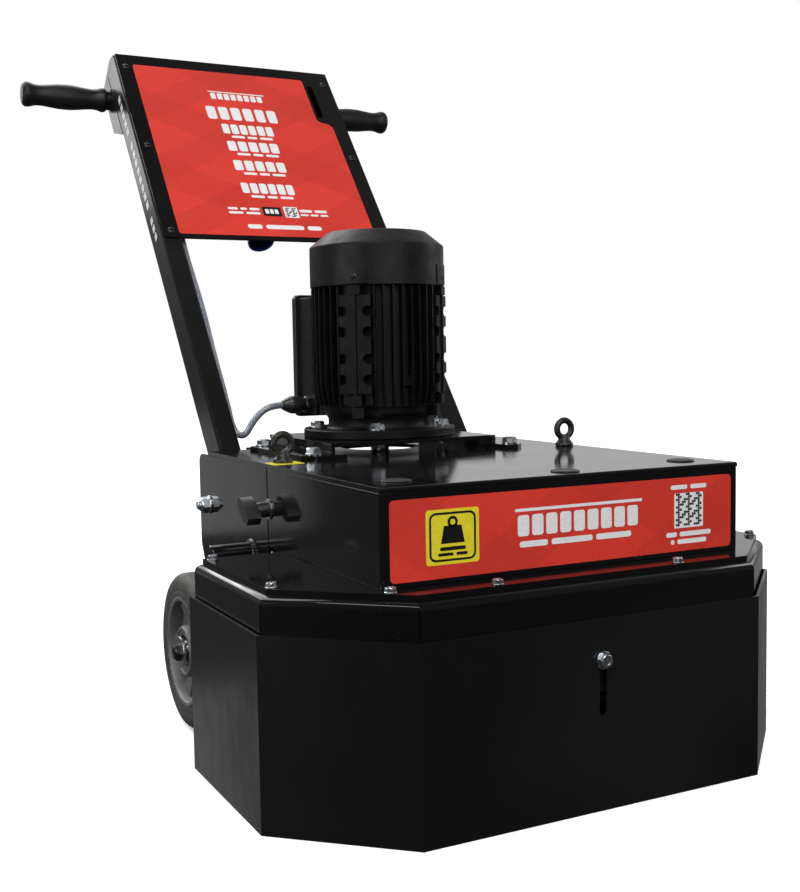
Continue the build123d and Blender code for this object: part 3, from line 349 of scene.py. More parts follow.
def vinyl(name, color, bands=()):
    """Printed vinyl film: fine ink mottle, slight orange peel and optional wedges of deeper ink."""
    f = Finish(name, color, 0.35, Specular_IOR_Level=0.25, Coat_Weight=0.08, Coat_Roughness=0.16)
    f.uneven(f.noise(25, 4), 0.3, 0.45)
    tone = f.mixed(f.ranged(f.noise(420, 2), 0.3, 0.7), shade(color, 0.94), shade(color, 1.05))
    for turn, scale in bands:
        edge = f.ranged(f.wave(scale, profile="SAW", turn=(0, 0, turn), source="UV"), 0.55, 0.56)
        worn = f.ranged(f.noise(90, 3, 0.7), 0.3, 0.75, 0.28, 0.6)
        tone = f.mixed(f.times(edge, worn), tone, shade(color, 0.78))
    f.paint(tone)
    f.bump((f.noise(300, 2), 0.04, 0.0004))


vinyl("sign_red", (0.74, 0.05, 0.034), bands=((58, 1.1), (118, 0.9)))
vinyl("print_white", (0.86, 0.86, 0.86))
vinyl("print_yellow", (0.82, 0.7, 0.03))
vinyl("print_black", (0.008, 0.008, 0.008))


# ---- shape helpers, in local millimetres
def circle(radius, count=48, x=0, y=0, turn=0):
    turns = [2 * math.pi * i / count + turn for i in range(count)]
    return [(x + radius * math.cos(t), y + radius * math.sin(t)) for t in turns]


def disc(radius, low, high):
    """Profile of a plain round bar or plate."""
    return [(0, low), (radius, low), (radius, high), (0, high)]


def sleeve(inner, outer, low, high):
    """Closed profile of a plain ring."""
    return [(inner, low), (outer, low), (outer, high), (inner, high), (inner, low)]


def washer(radius, edge, thick):
    """Profile of a flat washer with its rims eased."""
    return [(0, 0), (radius - 0.4, 0), (radius, edge), (radius, thick - edge), (radius - 0.4, thick), (0, thick)]


def rounded(x0, y0, x1, y1, radius, count=6):
    """Rectangle with rounded corners, anticlockwise."""
    corners = [(x0, y0, 1, 1, 180), (x1, y0, -1, 1, 270), (x1, y1, -1, -1, 0), (x0, y1, 1, -1, 90)]
    outline = []
    for x, y, dx, dy, start in corners:
        for i in range(count + 1):
            t = math.radians(start + 90 * i / count)
            outline.append((x + dx * radius + radius * math.cos(t), y + dy * radius + radius * math.sin(t)))
    return outline


def add_band(bm, first, second):
    """Quads between two rings of vertices."""
    for i in range(len(first)):
        j = (i + 1) % len(first)
        bm.faces.new((first[i], first[j], second[j], second[i]))


def add_prism(bm, outline, low, high):
    """Straight prism over an anticlockwise outline."""
    bottom, top = ([bm.verts.new((x, y, z)) for x, y in outline] for z in (low, high))
    bm.faces.new(bottom[::-1])
    bm.faces.new(top)
    add_band(bm, bottom, top)


def add_tube(bm, outer, inner, low, high, cap=0):
    """Hollow prism between two outlines of as many points, with its top closed by a cap if asked."""
    rings = [[bm.verts.new((x, y, z)) for x, y in line] for line, z in
             ((outer, low), (outer, high), (inner, high - cap), (inner, low))]
    for first, second in ((0, 1), (2, 3), (3, 0)):
        add_band(bm, rings[first], rings[second])
    if cap:
        bm.faces.new(rings[1])
        bm.faces.new(rings[2][::-1])
    else:
        add_band(bm, rings[1], rings[2])


def add_lathe(bm, profile, count=64, x=0, y=0, radius_at=None):
    """Revolve (radius, height) points about an upright local axis. Equal ends close the ring."""
    loop = profile[0] == profile[-1]
    points = profile[:-1] if loop else profile
    rings = []
    for radius, height in points:
        if radius < 1e-6:
            rings.append([bm.verts.new((x, y, height))])
            continue
        turns = [2 * math.pi * i / count for i in range(count)]
        radii = [radius_at(radius, height, t) if radius_at else radius for t in turns]
        rings.append([bm.verts.new((x + r * math.cos(t), y + r * math.sin(t), height)) for r, t in zip(radii, turns)])
    for a, b in zip(rings, rings[1:] + (rings[:1] if loop else [])):
        if len(a) == len(b):
            if len(a) > 1:
                add_band(bm, a, b)
            continue
        tip, ring = (a[0], b[::-1]) if len(a) == 1 else (b[0], a)
        for i in range(count):
            bm.faces.new((ring[i], ring[(i + 1) % count], tip))


def add_hex(bm, across, low, high, x=0, y=0, turn=0, socket=0, count=48):
    """Hexagon head or nut with its corners chamfered by a cone."""
    chamfer = across * 0.13
    inner = across * 0.46
    rings = [[], [], []]
    for i in range(count):
        t = math.radians(360 / count * i)
        local = (math.degrees(t) % 60) - 30
        r = across / 2 / math.cos(math.radians(local))
        drop = (r - inner) / (across * 0.577 - inner) * chamfer
        c, s = math.cos(t + turn), math.sin(t + turn)
        rings[0].append(bm.verts.new((x + r * c, y + r * s, low)))
        rings[1].append(bm.verts.new((x + r * c, y + r * s, high - drop)))
        rings[2].append(bm.verts.new((x + inner * c, y + inner * s, high)))
    add_band(bm, rings[0], rings[1])
    add_band(bm, rings[1], rings[2])
    bm.faces.new(rings[0][::-1])
    if socket:
        rim, pit = ([bm.verts.new((a, b, z)) for a, b in circle(socket, count, x, y, turn)] for z in (high, high - 1))
        add_band(bm, rings[2], rim)
        add_band(bm, rim, pit)
        bm.faces.new(pit)
    else:
        bm.faces.new(rings[2])


def add_bolt(bm, across, head, radius, thick, x=0, y=0, z=0, turn=0.3):
    """Washer of that radius and thickness, with a hexagon head on it."""
    add_lathe(bm, [(r, z + height) for r, height in washer(radius, 0.4, thick)], 40, x, y)
    add_hex(bm, across, z + thick, z + thick + head, x, y, turn, socket=across * 0.3)


def add_thread(bm, radius, low, high, pitch=1.5):
    profile = [(0, low), (radius * 0.9, low)]
    z = low
    while z + pitch < high - 0.4:
        profile += [(radius, z + pitch * 0.5), (radius * 0.9, z + pitch)]
        z += pitch
    profile += [(radius * 0.86, high), (0, high)]
    add_lathe(bm, profile, 28)


def bevel_edges(bm, width, segments):
    limit = math.radians(35)
    sharp = [e for e in bm.edges if len(e.link_faces) == 2 and e.calc_face_angle(0) > limit]
    bmesh.ops.bevel(bm, geom=sharp, offset=width, segments=segments, profile=0.5, affect="EDGES",
                    clamp_overlap=True)


def merge(bm, part, move=None):
    """Add a bmesh to another, moved if asked, and free it."""
    if move:
        part.transform(move)
    joined = bpy.data.meshes.new("part")
    part.to_mesh(joined)
    part.free()
    bm.from_mesh(joined)
    bpy.data.meshes.remove(joined)


def add_local(bm, place, build):
    """Build in a local frame, then add that to a bmesh in row frame millimetres."""
    part = bmesh.new()
    build(part)
    merge(bm, part, WORLD.inverted() @ place)


def add_turned(bm, place, profile, count, radius_at=None):
    """Add a lathed shape in a local frame."""
    add_local(bm, place, lambda part: add_lathe(part, profile, count, radius_at=radius_at))


def applied_mesh(obj):
    """The object's mesh with its modifiers applied and taken off."""
    bpy.context.view_layer.update()
    made = bpy.data.meshes.new_from_object(obj.evaluated_get(bpy.context.evaluated_depsgraph_get()))
    obj.modifiers.clear()
    return made


def piece(name, bm, finish, body, place=WORLD, node=None, bevel=0, sharp=38, voxel=0, cutter=None):
    """Piece that rides on a body, and may stand for a CAD node, from a bmesh in local millimetres."""
    bmesh.ops.recalc_face_normals(bm, faces=bm.faces)
    if bevel:
        bevel_edges(bm, bevel, 2)
    mesh = bpy.data.meshes.new(name)
    bm.to_mesh(mesh)
    bm.free()
    mesh.transform(place)
    obj = new_object(name, mesh)
    if voxel:
        remesh = obj.modifiers.new("remesh", "REMESH")
        remesh.mode, remesh.voxel_size = "VOXEL", voxel * MM
        smooth = obj.modifiers.new("smooth", "SMOOTH")
        smooth.iterations, smooth.factor = 6, 0.6
        obj.data = mesh = applied_mesh(obj)
    if cutter:
        tool = new_object("cutter", bpy.data.meshes.new("cutter"))
        cutter.to_mesh(tool.data)
        cutter.free()
        tool.data.transform(place)
        cut = obj.modifiers.new("cut", "BOOLEAN")
        cut.operation, cut.solver, cut.object = "DIFFERENCE", "EXACT", tool
        obj.data = mesh = applied_mesh(obj)
        bpy.data.objects.remove(tool)
    mesh.materials.clear()
    mesh.materials.append(FINISHES[finish])
    mesh.shade_smooth()
    mesh.set_sharp_from_angle(angle=math.radians(sharp))
    obj.modifiers.new("normals", "WEIGHTED_NORMAL").keep_sharp = True
    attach(obj, body)
    if node:
        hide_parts(node)
        STOOD_FOR.add(node)
    return obj


def softened(node, width, cutter=None):
    """Copy of a CAD node with its sharp edges rounded, standing for the node."""
    bm = bmesh.new()
    bm.from_mesh(NODES[node].data)
    bmesh.ops.remove_doubles(bm, verts=bm.verts, dist=1e-6)
    bmesh.ops.dissolve_limit(bm, angle_limit=math.radians(0.6), verts=bm.verts, edges=bm.edges)
    bmesh.ops.scale(bm, vec=(1 / MM,) * 3, verts=bm.verts)
    bevel_edges(bm, width, 2)
    return piece(node + "_body", bm, SLOT_OF[node], BODY_OF[node], node=node, cutter=cutter)


# ---- the motor's cable
def route_line(points):
    """Points along the NURBS curve that has these points as its control points."""
    curve = bpy.data.curves.new("route", "CURVE")
    curve.dimensions = "3D"
    curve.resolution_u = 20
    spline = curve.splines.new("NURBS")
    spline.points.add(len(points) - 1)
    for control, point in zip(spline.points, points):
        control.co = (*point, 1)
    spline.order_u = 3
    spline.use_endpoint_u = True
    holder = new_object("route", curve)
    bpy.context.view_layer.update()
    line = bpy.data.meshes.new_from_object(holder)
    found = [vertex.co.copy() for vertex in line.vertices]
    bpy.data.objects.remove(holder)
    bpy.data.meshes.remove(line)
    return found


def add_sweep(bm, line, radius, count, uv_turns=8, uv_length=120):
    """Round tube along a line of points, with UVs that run round it and along it."""
    layer = bm.loops.layers.uv.new("UVMap")
    along = [0]
    for a, b in zip(line, line[1:]):
        along.append(along[-1] + (b - a).length)
    rings = []
    normal = Vector((0, 0, 1))
    for i, point in enumerate(line):
        tangent = (line[min(i + 1, len(line) - 1)] - line[max(i - 1, 0)]).normalized()
        normal = (normal - tangent * normal.dot(tangent)).normalized()
        across = tangent.cross(normal)
        turns = [2 * math.pi * k / count for k in range(count)]
        rings.append([bm.verts.new(point + radius * (math.cos(t) * normal + math.sin(t) * across)) for t in turns])
    for i in range(len(rings) - 1):
        for k in range(count):
            j = (k + 1) % count
            face = bm.faces.new((rings[i][k], rings[i][j], rings[i + 1][j], rings[i + 1][k]))
            corners = ((k, i), (k + 1, i), (k + 1, i + 1), (k, i + 1))
            for loop, (u, v) in zip(face.loops, corners):
                loop[layer].uv = (u / count * uv_turns, along[v] * uv_length)
    bm.faces.new(rings[0][::-1])
    bm.faces.new(rings[-1])
    return along[-1]


CABLE_START = Vector((-96, GLAND_Y, GLAND_Z))
CABLE_END = on_handle(SWITCH_LEFT - 40, PANEL_GLAND_DEPTH, PANEL_GLAND_HEIGHT)
CABLE_ROUTE = [
    CABLE_START, (-116, FRONT + 597, 384), (-136, FRONT + 600, 366), (-149, FRONT + 604, 341),
    (-157, FRONT + 628, 350), (-157, FRONT + 655, 395), (-157, FRONT + 700, 451), (-155, FRONT + 750, 517),
    (-157, FRONT + 795, 575), (-157, FRONT + 822, 606), (-154, FRONT + 858, 647), (-140, FRONT + 884, 677),
    CABLE_END + Vector((-26, 0, 0)), CABLE_END,
]
cable_line = route_line([Vector(point) * MM for point in CABLE_ROUTE])
bm = bmesh.new()
cable_length = add_sweep(bm, cable_line, 4.5 * MM, 20)
cable = piece("motor_lead", bm, "cable_sheath", "chassis", Matrix.Identity(4))
cable.modifiers.clear()
cable.parent = None
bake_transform(cable)
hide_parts("motor_cable")

# ---- sheet metal and boxes, from their CAD shapes
for width, nodes in (
    (0.9, "skirt base_plate"), (0.8, "front_cover"), (0.9, "side_plate_left side_plate_right top_plate"),
    (1.2, "motor_bridge"), (0.6, "dust_port"), (1.6, "handle_crossbar"), (0.7, "dash_panel"), (1.3, "control_box"),
    (1.6, "terminal_box"), (1.3, "terminal_box_lid"), (1, "grinding_plate_left grinding_plate_right"),
    (0.6, "diamond_shoes_left diamond_shoes_right"),
):
    for node in nodes.split():
        softened(node, width)

# the folded pan's open corners
bm = bmesh.new()
for index, corner in enumerate(HEAD_CORNERS):
    corner = Vector(corner)
    before = (Vector(HEAD_CORNERS[index - 1]) - corner).normalized()
    after = (Vector(HEAD_CORNERS[(index + 1) % len(HEAD_CORNERS)]) - corner).normalized()
    inward = (before + after).normalized()
    corner += inward * 5 / abs(inward.cross(after))
    across = Vector((-inward.y, inward.x)) * 0.75
    slit = [corner + inward * reach + across * way for reach, way in ((-3, -1), (2.4, -1), (2.4, 1), (-3, 1))]
    add_prism(bm, slit, 117, 222.5)
bmesh.ops.recalc_face_normals(bm, faces=bm.faces)
softened("dust_pan", 0.5, cutter=bm)

# ---- uprights
for side, name in SIDES:
    low, high = sorted((side * TUBE_INSIDE, side * TUBE_OUTSIDE))
    bm = bmesh.new()
    add_tube(bm, rounded(low, -25, high, 25, 3.6), rounded(low + 3, -22, high - 3, 22, 1), -20, 871, cap=3)
    piece(f"upright_{name}_tube", bm, "satin_black", "handle", ALONG_HANDLE, f"upright_{name}", bevel=0.5)

# ---- screws, bolts and nuts
bm = bmesh.new()
for index, (x, y) in enumerate(BASE_SCREWS):
    add_bolt(bm, 10, 4, 6.2, 1.2, x, FRONT + y, BASE_TOP, turn=0.4 + 0.9 * index)
    add_lathe(bm, disc(3, 220, BASE_TOP), 20, x, FRONT + y)
piece("screw_heads", bm, "zinc", "chassis", node="base_screws")

BRIDGE_BOLTS = [(x, FRONT + y) for x in (-146, 128) for y in (370, 537)]
FLANGE_BOLTS = [(-BOLT_CIRCLE * math.sin(turn), MOTOR_Y - BOLT_CIRCLE * math.cos(turn))
                for turn in map(math.radians, (28, 118, 208, 298))]
bm = bmesh.new()
for index, (x, y) in enumerate(BRIDGE_BOLTS):
    add_bolt(bm, 16, 6.5, 10, 2, x, y, BRIDGE_TOP, turn=0.2 + 0.7 * index)
for index, (x, y) in enumerate(FLANGE_BOLTS):
    add_bolt(bm, 16, 6.5, 10, 2, x, y, FLANGE_TOP, turn=0.5 + 1.1 * index)
    add_lathe(bm, disc(5, 332, FLANGE_TOP), 24, x, y)
    add_hex(bm, 16, 334, 340, x, y, 0.3 + index)
    add_lathe(bm, disc(9.6, 338, 339.9), 32, x, y)
piece("motor_bolt_heads", bm, "zinc", "chassis", node="motor_bolts")

turn = math.radians(313)
outward = Vector((-math.sin(turn), -math.cos(turn), 0))
tab_place = frame_of(Vector((0, MOTOR_Y, FLANGE_TOP)) + outward * 78, Vector((0, 0, 1)).cross(outward), outward)
bm = bmesh.new()
outline = [(-6.5, 0), (6.5, 0)] + [(6.5 * math.cos(math.pi * i / 16), 7.5 + 6.5 * math.sin(math.pi * i / 16))
                                   for i in range(17)]
add_prism(bm, outline, -0.9, 0.9)
add_lathe(bm, [(0, 0.6), (3.4, 0.6), (3.4, 2.4), (2.9, 2.9), (0, 2.9)], 24, 0, 7.5)
piece("earth_tab", bm, "zinc", "chassis", tab_place, bevel=0.3)


def guide_bolt(part):
    add_bolt(part, 13, 5.5, 9, 1.6, turn=0.25)
    add_lathe(part, disc(4, -12, 0), 24)


bm = bmesh.new()
for y, normal in ((FRONT - 0.3, -1), (FRONT + 318.7 + 0.3, 1)):
    add_local(bm, frame_of((0, y, 151), (0, 0, 1), (0, normal, 0)), guide_bolt)
piece("guide_bolt_heads", bm, "zinc", "chassis", node="skirt_guide_bolts")


def pivot_nut(part):
    add_lathe(part, washer(12, 0.4, 2.2), 40)
    add_hex(part, 19, 2.2, 11.5, turn=0.35)
    add_lathe(part, [(0, 11), (8.4, 11), (8.2, 12.4), (7.2, 13.7), (6.3, 13.9), (0, 13.9)], 40)
    add_thread(part, 6, 13, 17)


def pivot_head(part):
    add_lathe(part, washer(12, 0.4, 2.2), 40)
    add_hex(part, 19, 2.2, 10.2, turn=0.1)


bm = bmesh.new()
for side, name in SIDES:
    add_local(bm, facing_x(side * BOX_HALF, PIVOT_Y, PIVOT_Z, side), pivot_nut)
    head_x = side * (TUBE_INSIDE - 0.3)
    add_local(bm, facing_x(head_x, PIVOT_Y, PIVOT_Z, -side), pivot_head)
    add_turned(bm, facing_x(side * TUBE_OUTSIDE, PIVOT_Y, PIVOT_Z, side), sleeve(6.05, 10, 0.3, 19.4), 32)
    add_turned(bm, facing_x(head_x, PIVOT_Y, PIVOT_Z, side), disc(6, 0, 54), 32)
piece("pivot_bolt_set", bm, "zinc", "chassis", node="pivot_bolts")

BUTTON_HEAD = [(0, 1), (1.6, 1), (1.75, 2.55), (3.2, 2.5), (4.7, 1.7), (5.5, 0.5), (5.5, 0), (0, 0)]
bm = bmesh.new()
for side, name in SIDES:
    for height in (467, 651.4, 840):
        add_turned(bm, handle_front(side * 176.9, PANEL_FACE, height), BUTTON_HEAD, 36)
piece("dash_screw_heads", bm, "black_steel", "handle", node="dash_screws")

# ---- lifting eyes, stubs, plugs
EYE_FOOT = [(0, 329.3), (11.4, 329.3), (11.7, 330), (11.3, 333), (10.2, 334.6), (8.6, 336.5), (7, 339.5),
            (6.4, 343), (0, 343)]
section = [(11 + 4.15 * math.cos(a), 4.3 * math.sin(a)) for a in (math.radians(20 * k) for k in range(18))]
bm = bmesh.new()
for side, name in SIDES:
    add_lathe(bm, EYE_FOOT, 40, side * EYE_X, EYE_Y)
    add_turned(bm, frame_of((side * EYE_X, EYE_Y, 351.3), (0, 0, 1), (0, -1, 0)), section + section[:1], 48)
piece("lifting_eye_forgings", bm, "forged_steel", "chassis", node="lifting_eyes", voxel=0.75, sharp=60)


def ripple(radius, height, turn):
    return radius + (0.35 * math.sin(26 * turn) + 0.25 * math.sin(11 * turn + 1)) * (radius > 12)


STUB = [(0, 0), (11.5, 0), (11.5, 48.2), (11.2, 48.4), (11.2, 49), (11.6, 49.2), (11.6, 51.2), (10.8, 52.3),
        (0, 52.3)]
BEAD = [(11, 0), (15.2, 0), (15, 1.2), (13.8, 2.9), (12.2, 4.2), (11, 4.4), (11, 0)]
bars, beads = bmesh.new(), bmesh.new()
for side, name in SIDES:
    place = facing_x(side * BOX_HALF, STUB_Y, STUB_Z, side)
    add_turned(bars, place, STUB, 48)
    add_turned(beads, place, BEAD, 96, ripple)
piece("lashing_stub_bars", bars, "gloss_black", "chassis", node="lashing_stubs")
piece("stub_weld_beads", beads, "gloss_black", "chassis")

bm = bmesh.new()
for x, y in ((-175, 94), (8, 74), (175, 94)):
    add_lathe(bm, [(0, 322.5), (10.5, 322.5), (11.9, 324.5), (11.9, 329.3), (14.6, 329.3), (15, 329.8), (14.4, 330.7),
                   (11.5, 331.2), (10.6, 330.9), (0, 331)], 48, x, FRONT + y)
piece("lid_plug_mouldings", bm, "rubber_black", "chassis", node="top_plugs")

# ---- wheels
for side, name in SIDES:
    wheel = f"wheel_{name}"
    place = facing_x(side * WHEEL_INSIDE, WHEEL_Y, WHEEL_Z, side)
    bm = bmesh.new()
    add_lathe(bm, [
        (66.2, 1.5), (68, 0.6), (84, 0), (89, 1.6), (93, 5.5), (94.6, 9.5), (95, 14), (95, 24.6),
        (95, 25.4), (95, 36), (94.6, 40.5), (93, 44.5), (89, 48.4), (84, 50), (76, 49.7), (74.5, 49.1),
        (73, 49.6), (68, 49.4), (66.2, 48.5), (66.2, 1.5),
    ], 128)
    piece(f"tyre_{name}_moulding", bm, "tyre_rubber", wheel, place, f"tyre_{name}")
    bm = bmesh.new()
    add_lathe(bm, [
        (26.2, 3), (26.8, 1), (29, 1), (31, 4), (32.5, 15), (35, 20.5), (54, 20.5), (58.2, 17), (60.3, 4),
        (61.2, 0.5), (66, 0), (66.1, 1), (66.1, 49), (66, 50), (62, 49.6), (61, 48.2), (60.3, 46),
        (58.2, 33), (54, 29.5), (35, 29.5), (32.5, 35), (31, 46), (29, 49), (26.8, 49), (26.2, 47), (23, 47),
        (23, 3), (26.2, 3),
    ], 96)
    for spoke in range(5):
        part = bmesh.new()
        spread = ((30, -7.5), (61, -11.5), (61, 11.5), (30, 7.5))
        lower, upper = ([part.verts.new((x, y, z_hub if x < 40 else z_rim)) for x, y in spread]
                        for z_hub, z_rim in ((14, 8.5), (36, 41.5)))
        part.faces.new(lower[::-1])
        part.faces.new(upper)
        add_band(part, lower, upper)
        bevel_edges(part, 2.2, 3)
        merge(bm, part, Matrix.Rotation(2 * math.pi * spoke / 5 + 0.35, 4, "Z"))
    piece(f"{wheel}_casting", bm, "cast_aluminium", wheel, place, f"wheel_hub_{name}")
    bm = bmesh.new()
    add_lathe(bm, [(64.7, 49.2), (66.1, 49.2), (66.1, 50), (65.6, 50.2), (64.7, 49.9), (64.7, 49.2)], 128)
    piece(f"{wheel}_rim_edge", bm, "bright_steel", wheel, place)
    bm = bmesh.new()
    add_lathe(bm, sleeve(19.6, 22.9, 2.5, 47.5), 64)
    add_lathe(bm, sleeve(12.6, 15.4, 4, 46), 48)
    piece(f"{wheel}_bearing_races", bm, "bright_steel", wheel, place)
    bm = bmesh.new()
    add_lathe(bm, sleeve(15.5, 19.5, 5.2, 44.8), 48)
    piece(f"{wheel}_bearing_seal", bm, "rubber_black", wheel, place)


def axle_nut(part):
    add_hex(part, 19, 3, 9.5, turn=0.5)
    add_lathe(part, [(0, 9), (7.6, 9), (7.3, 10), (6.2, 10.6), (4.2, 10.9), (3.6, 10.2), (0, 10.2)], 36)


washers, nuts = bmesh.new(), bmesh.new()
for side, name in SIDES:
    place = facing_x(side * WASHER_INSIDE, WHEEL_Y, WHEEL_Z, side)
    add_turned(washers, place, washer(19, 0.5, 3), 56)
    add_turned(washers, facing_x(side * BOX_HALF, WHEEL_Y, WHEEL_Z, side), sleeve(12.55, 19, 0, 19.9), 48)
    add_local(nuts, place, axle_nut)
piece("axle_washers", washers, "zinc", "chassis", node="axle_fasteners")
piece("axle_end_nuts", nuts, "black_steel", "chassis")

# ---- cover knobs
WING = [(-19, -4.6), (-9, -8.5), (9, -8.5), (19, -4.6), (19, 4.6), (9, 8.5), (-9, 8.5), (-19, 4.6)]
for side, name in SIDES:
    knob = f"cover_knob_{name}"
    place = facing_x(side * (BOX_HALF + 0.3), KNOB_Y, KNOB_Z, side)
    bm = bmesh.new()
    add_lathe(bm, [(0, 1.5), (8.8, 1.5), (9, 3), (8.6, 13), (7.6, 18), (0, 18)], 48)
    part = bmesh.new()
    add_prism(part, WING, 15.5, 31.3)
    bevel_edges(part, 2.4, 3)
    merge(bm, part, Matrix.Rotation(KNOB_TURN, 4, "Z"))
    piece(f"{knob}_wing", bm, "plastic_black", knob, place, knob)
    bm = bmesh.new()
    add_lathe(bm, washer(12, 0.3, 1.5), 44)
    add_lathe(bm, disc(4, -11, 0), 24)
    piece(f"{knob}_washer", bm, "zinc", knob, place)

# ---- motor
MOTOR = level(0, MOTOR_Y, 0)


def facing_out(degrees, height=0):
    """Frame on the motor's axis that faces outwards at an angle, with its local y up."""
    turn = math.radians(degrees)
    return frame_of((0, 0, height), (-math.sin(turn), math.cos(turn), 0), (math.cos(turn), math.sin(turn), 0))


def shield_boss(part):
    add_prism(part, rounded(-8, 371, 8, 384.6, 1.5), 64, 82)
    bevel_edges(part, 0.9, 2)


bm = bmesh.new()
add_lathe(bm, [
    (15, 345), (98.8, 345), (100, 346.2), (100, 354.6), (98.8, 356), (74, 356), (72.5, 355.4), (70.5, 356.2),
    (68.2, 358.5), (67.4, 363), (67.6, 368), (69.4, 371.5), (71.8, 375), (72.8, 377.5), (72.8, 385), (60, 385),
    (60, 376), (15, 376), (15, 345),
], 128)
for degrees in QUARTERS:
    add_local(bm, facing_out(degrees), shield_boss)
piece("motor_end_shield", bm, "motor_frame_black", "chassis", MOTOR, "motor_flange")


def add_fin(bm, turn, profile, half_root, half_tip):
    """Radial fin over a (radius, height) outline, thinner at its tip."""
    radial = Vector((math.cos(turn), math.sin(turn), 0))
    across = Vector((-radial.y, radial.x, 0))
    low, high = min(r for r, _ in profile), max(r for r, _ in profile)
    sides = [[], []]
    for r, z in profile:
        half = half_root + (half_tip - half_root) * (r - low) / (high - low)
        for line, sign in zip(sides, (-1, 1)):
            line.append(bm.verts.new(radial * r + across * half * sign + Vector((0, 0, z))))
    bm.faces.new(sides[0])
    bm.faces.new(sides[1][::-1])
    add_band(bm, sides[0], sides[1])


def pad_outline(half, low, high, notches):
    """Flat pad beside the tie rods, with U-shaped notches open to both of its sides."""
    edge = [(half, low)]
    for middle in notches:
        edge += [(half, middle - 6.2), (half - 5, middle - 6.2)]
        edge += [(half - 5 - 6.2 * math.sin(math.radians(a)), middle - 6.2 * math.cos(math.radians(a)))
                 for a in (30, 60, 90, 120, 150)]
        edge += [(half - 5, middle + 6.2), (half, middle + 6.2)]
    edge.append((half, high))
    return edge + [(-x, y) for x, y in edge[::-1]]


def rod_side(part):
    """Pads, bosses and the rod itself along one of the four tie rods."""
    add_prism(part, pad_outline(21, 402, 526, (420, 446, 480, 506)), 74, 87.5)
    add_prism(part, rounded(-8, 526.5, 8, 537.5, 1.5), 76, 90.5)
    add_prism(part, rounded(-7.5, 386.5, 7.5, 400, 1.5), 74, 88.5)
    for x in (-15, 15):
        add_prism(part, rounded(x - 5, 388, x + 5, 402.5, 1), 74, 80.5)
    bevel_edges(part, 0.8, 2)
    add_prism(part, rounded(-1.6, 400, 1.6, 527, 1.2), 87, 89.6)


FINS = 44
FIN = [(76.5, 386), (80, 386), (82.5, 391), (85.2, 400), (86.6, 412), (87, 424), (87, 538), (76.5, 538)]
bm = bmesh.new()
add_lathe(bm, [(66.3, 385), (78, 385), (78, 539), (74, 539), (74, 551), (26.5, 551), (26.5, 541), (66.3, 539),
               (66.3, 385)], 96)
for index in range(FINS):
    turn = 2 * math.pi * (index + 0.5) / FINS
    degrees = math.degrees(turn)
    from_rod = min(abs(degrees - rod) for rod in QUARTERS)
    if from_rod >= 15.5 and abs(degrees - 90) >= 24:
        add_fin(bm, turn, FIN, 1.7, 1.15)
for degrees in QUARTERS:
    add_local(bm, facing_out(degrees), rod_side)
add_turned(bm, frame_of((0, 0, 418), (0, 0, 1), (0, -1, 0)),
           [(0, 75), (7.2, 75), (7, 84.4), (6.2, 85.2), (4.6, 85.2), (4.2, 83), (0, 83)], 32)
part = bmesh.new()
add_prism(part, rounded(-50, 66, 50, 81.5, 4), 374, 528)
bevel_edges(part, 1.5, 2)
merge(bm, part)
piece("motor_frame", bm, "motor_frame_black", "chassis", MOTOR, "motor_body")

bm = bmesh.new()
add_lathe(bm, [
    (86, COWL_LOW), (88, COWL_LOW), (88, 589), (87.7, 590.6), (86.8, 592), (65.4, 609.3), (64.2, 609.9), (58, 610),
    (58, 608), (63.4, 608), (85.2, 590.6), (86, 588), (86, COWL_LOW),
], 128)
for inner, outer in ((9, 12.5), (18.5, 22), (28, 31.5), (37.5, 41), (47, 50.5)):
    add_lathe(bm, sleeve(inner, outer, 608.1, 609.8), 72)
for spoke in range(8):
    part = bmesh.new()
    add_prism(part, [(9.5, -1.6), (60, -1.6), (60, 1.6), (9.5, 1.6)], 608.2, 609.7)
    merge(bm, part, Matrix.Rotation(2 * math.pi * spoke / 8, 4, "Z"))
for middle in QUARTERS:
    rings = []
    for step in range(9):
        turn = math.radians(middle - 10.3 + 20.6 * step / 8)
        c, s = math.cos(turn), math.sin(turn)
        rings.append([bm.verts.new((r * c, r * s, z)) for r, z in
                      ((87.5, 539.6), (89.2, 539.9), (89.5, 541), (89.5, 564.6), (89.2, 565.8), (87.5, 566.2))])
    for a, b in zip(rings, rings[1:]):
        add_band(bm, a, b)
    bm.faces.new(rings[0])
    bm.faces.new(rings[-1][::-1])
piece("fan_cowl_pressing", bm, "motor_black", "chassis", MOTOR, "fan_cowl")
COWL_SCREW = [(0, 88.5), (3.8, 88.5), (3.6, 89.6), (2.6, 90.3), (1.5, 90.4), (1.4, 89.4), (0, 89.4)]
bm = bmesh.new()
for degrees in QUARTERS:
    add_turned(bm, facing_out(degrees, 549.5), COWL_SCREW, 28)
piece("cowl_screws", bm, "black_steel", "chassis", MOTOR)

LID_SCREW = [(0, 0), (4.2, 0), (4.2, 1.4), (3.4, 2.2), (0.9, 2.2), (0.8, 1.2), (0, 1.2)]
bm = bmesh.new()
for x in (-53, 53):
    for z in (374.5, 527.5):
        add_turned(bm, frame_of((x, FRONT + 638.6, z), (1, 0, 0), (0, 1, 0)), LID_SCREW, 28)
piece("terminal_lid_screws", bm, "black_steel", "chassis")


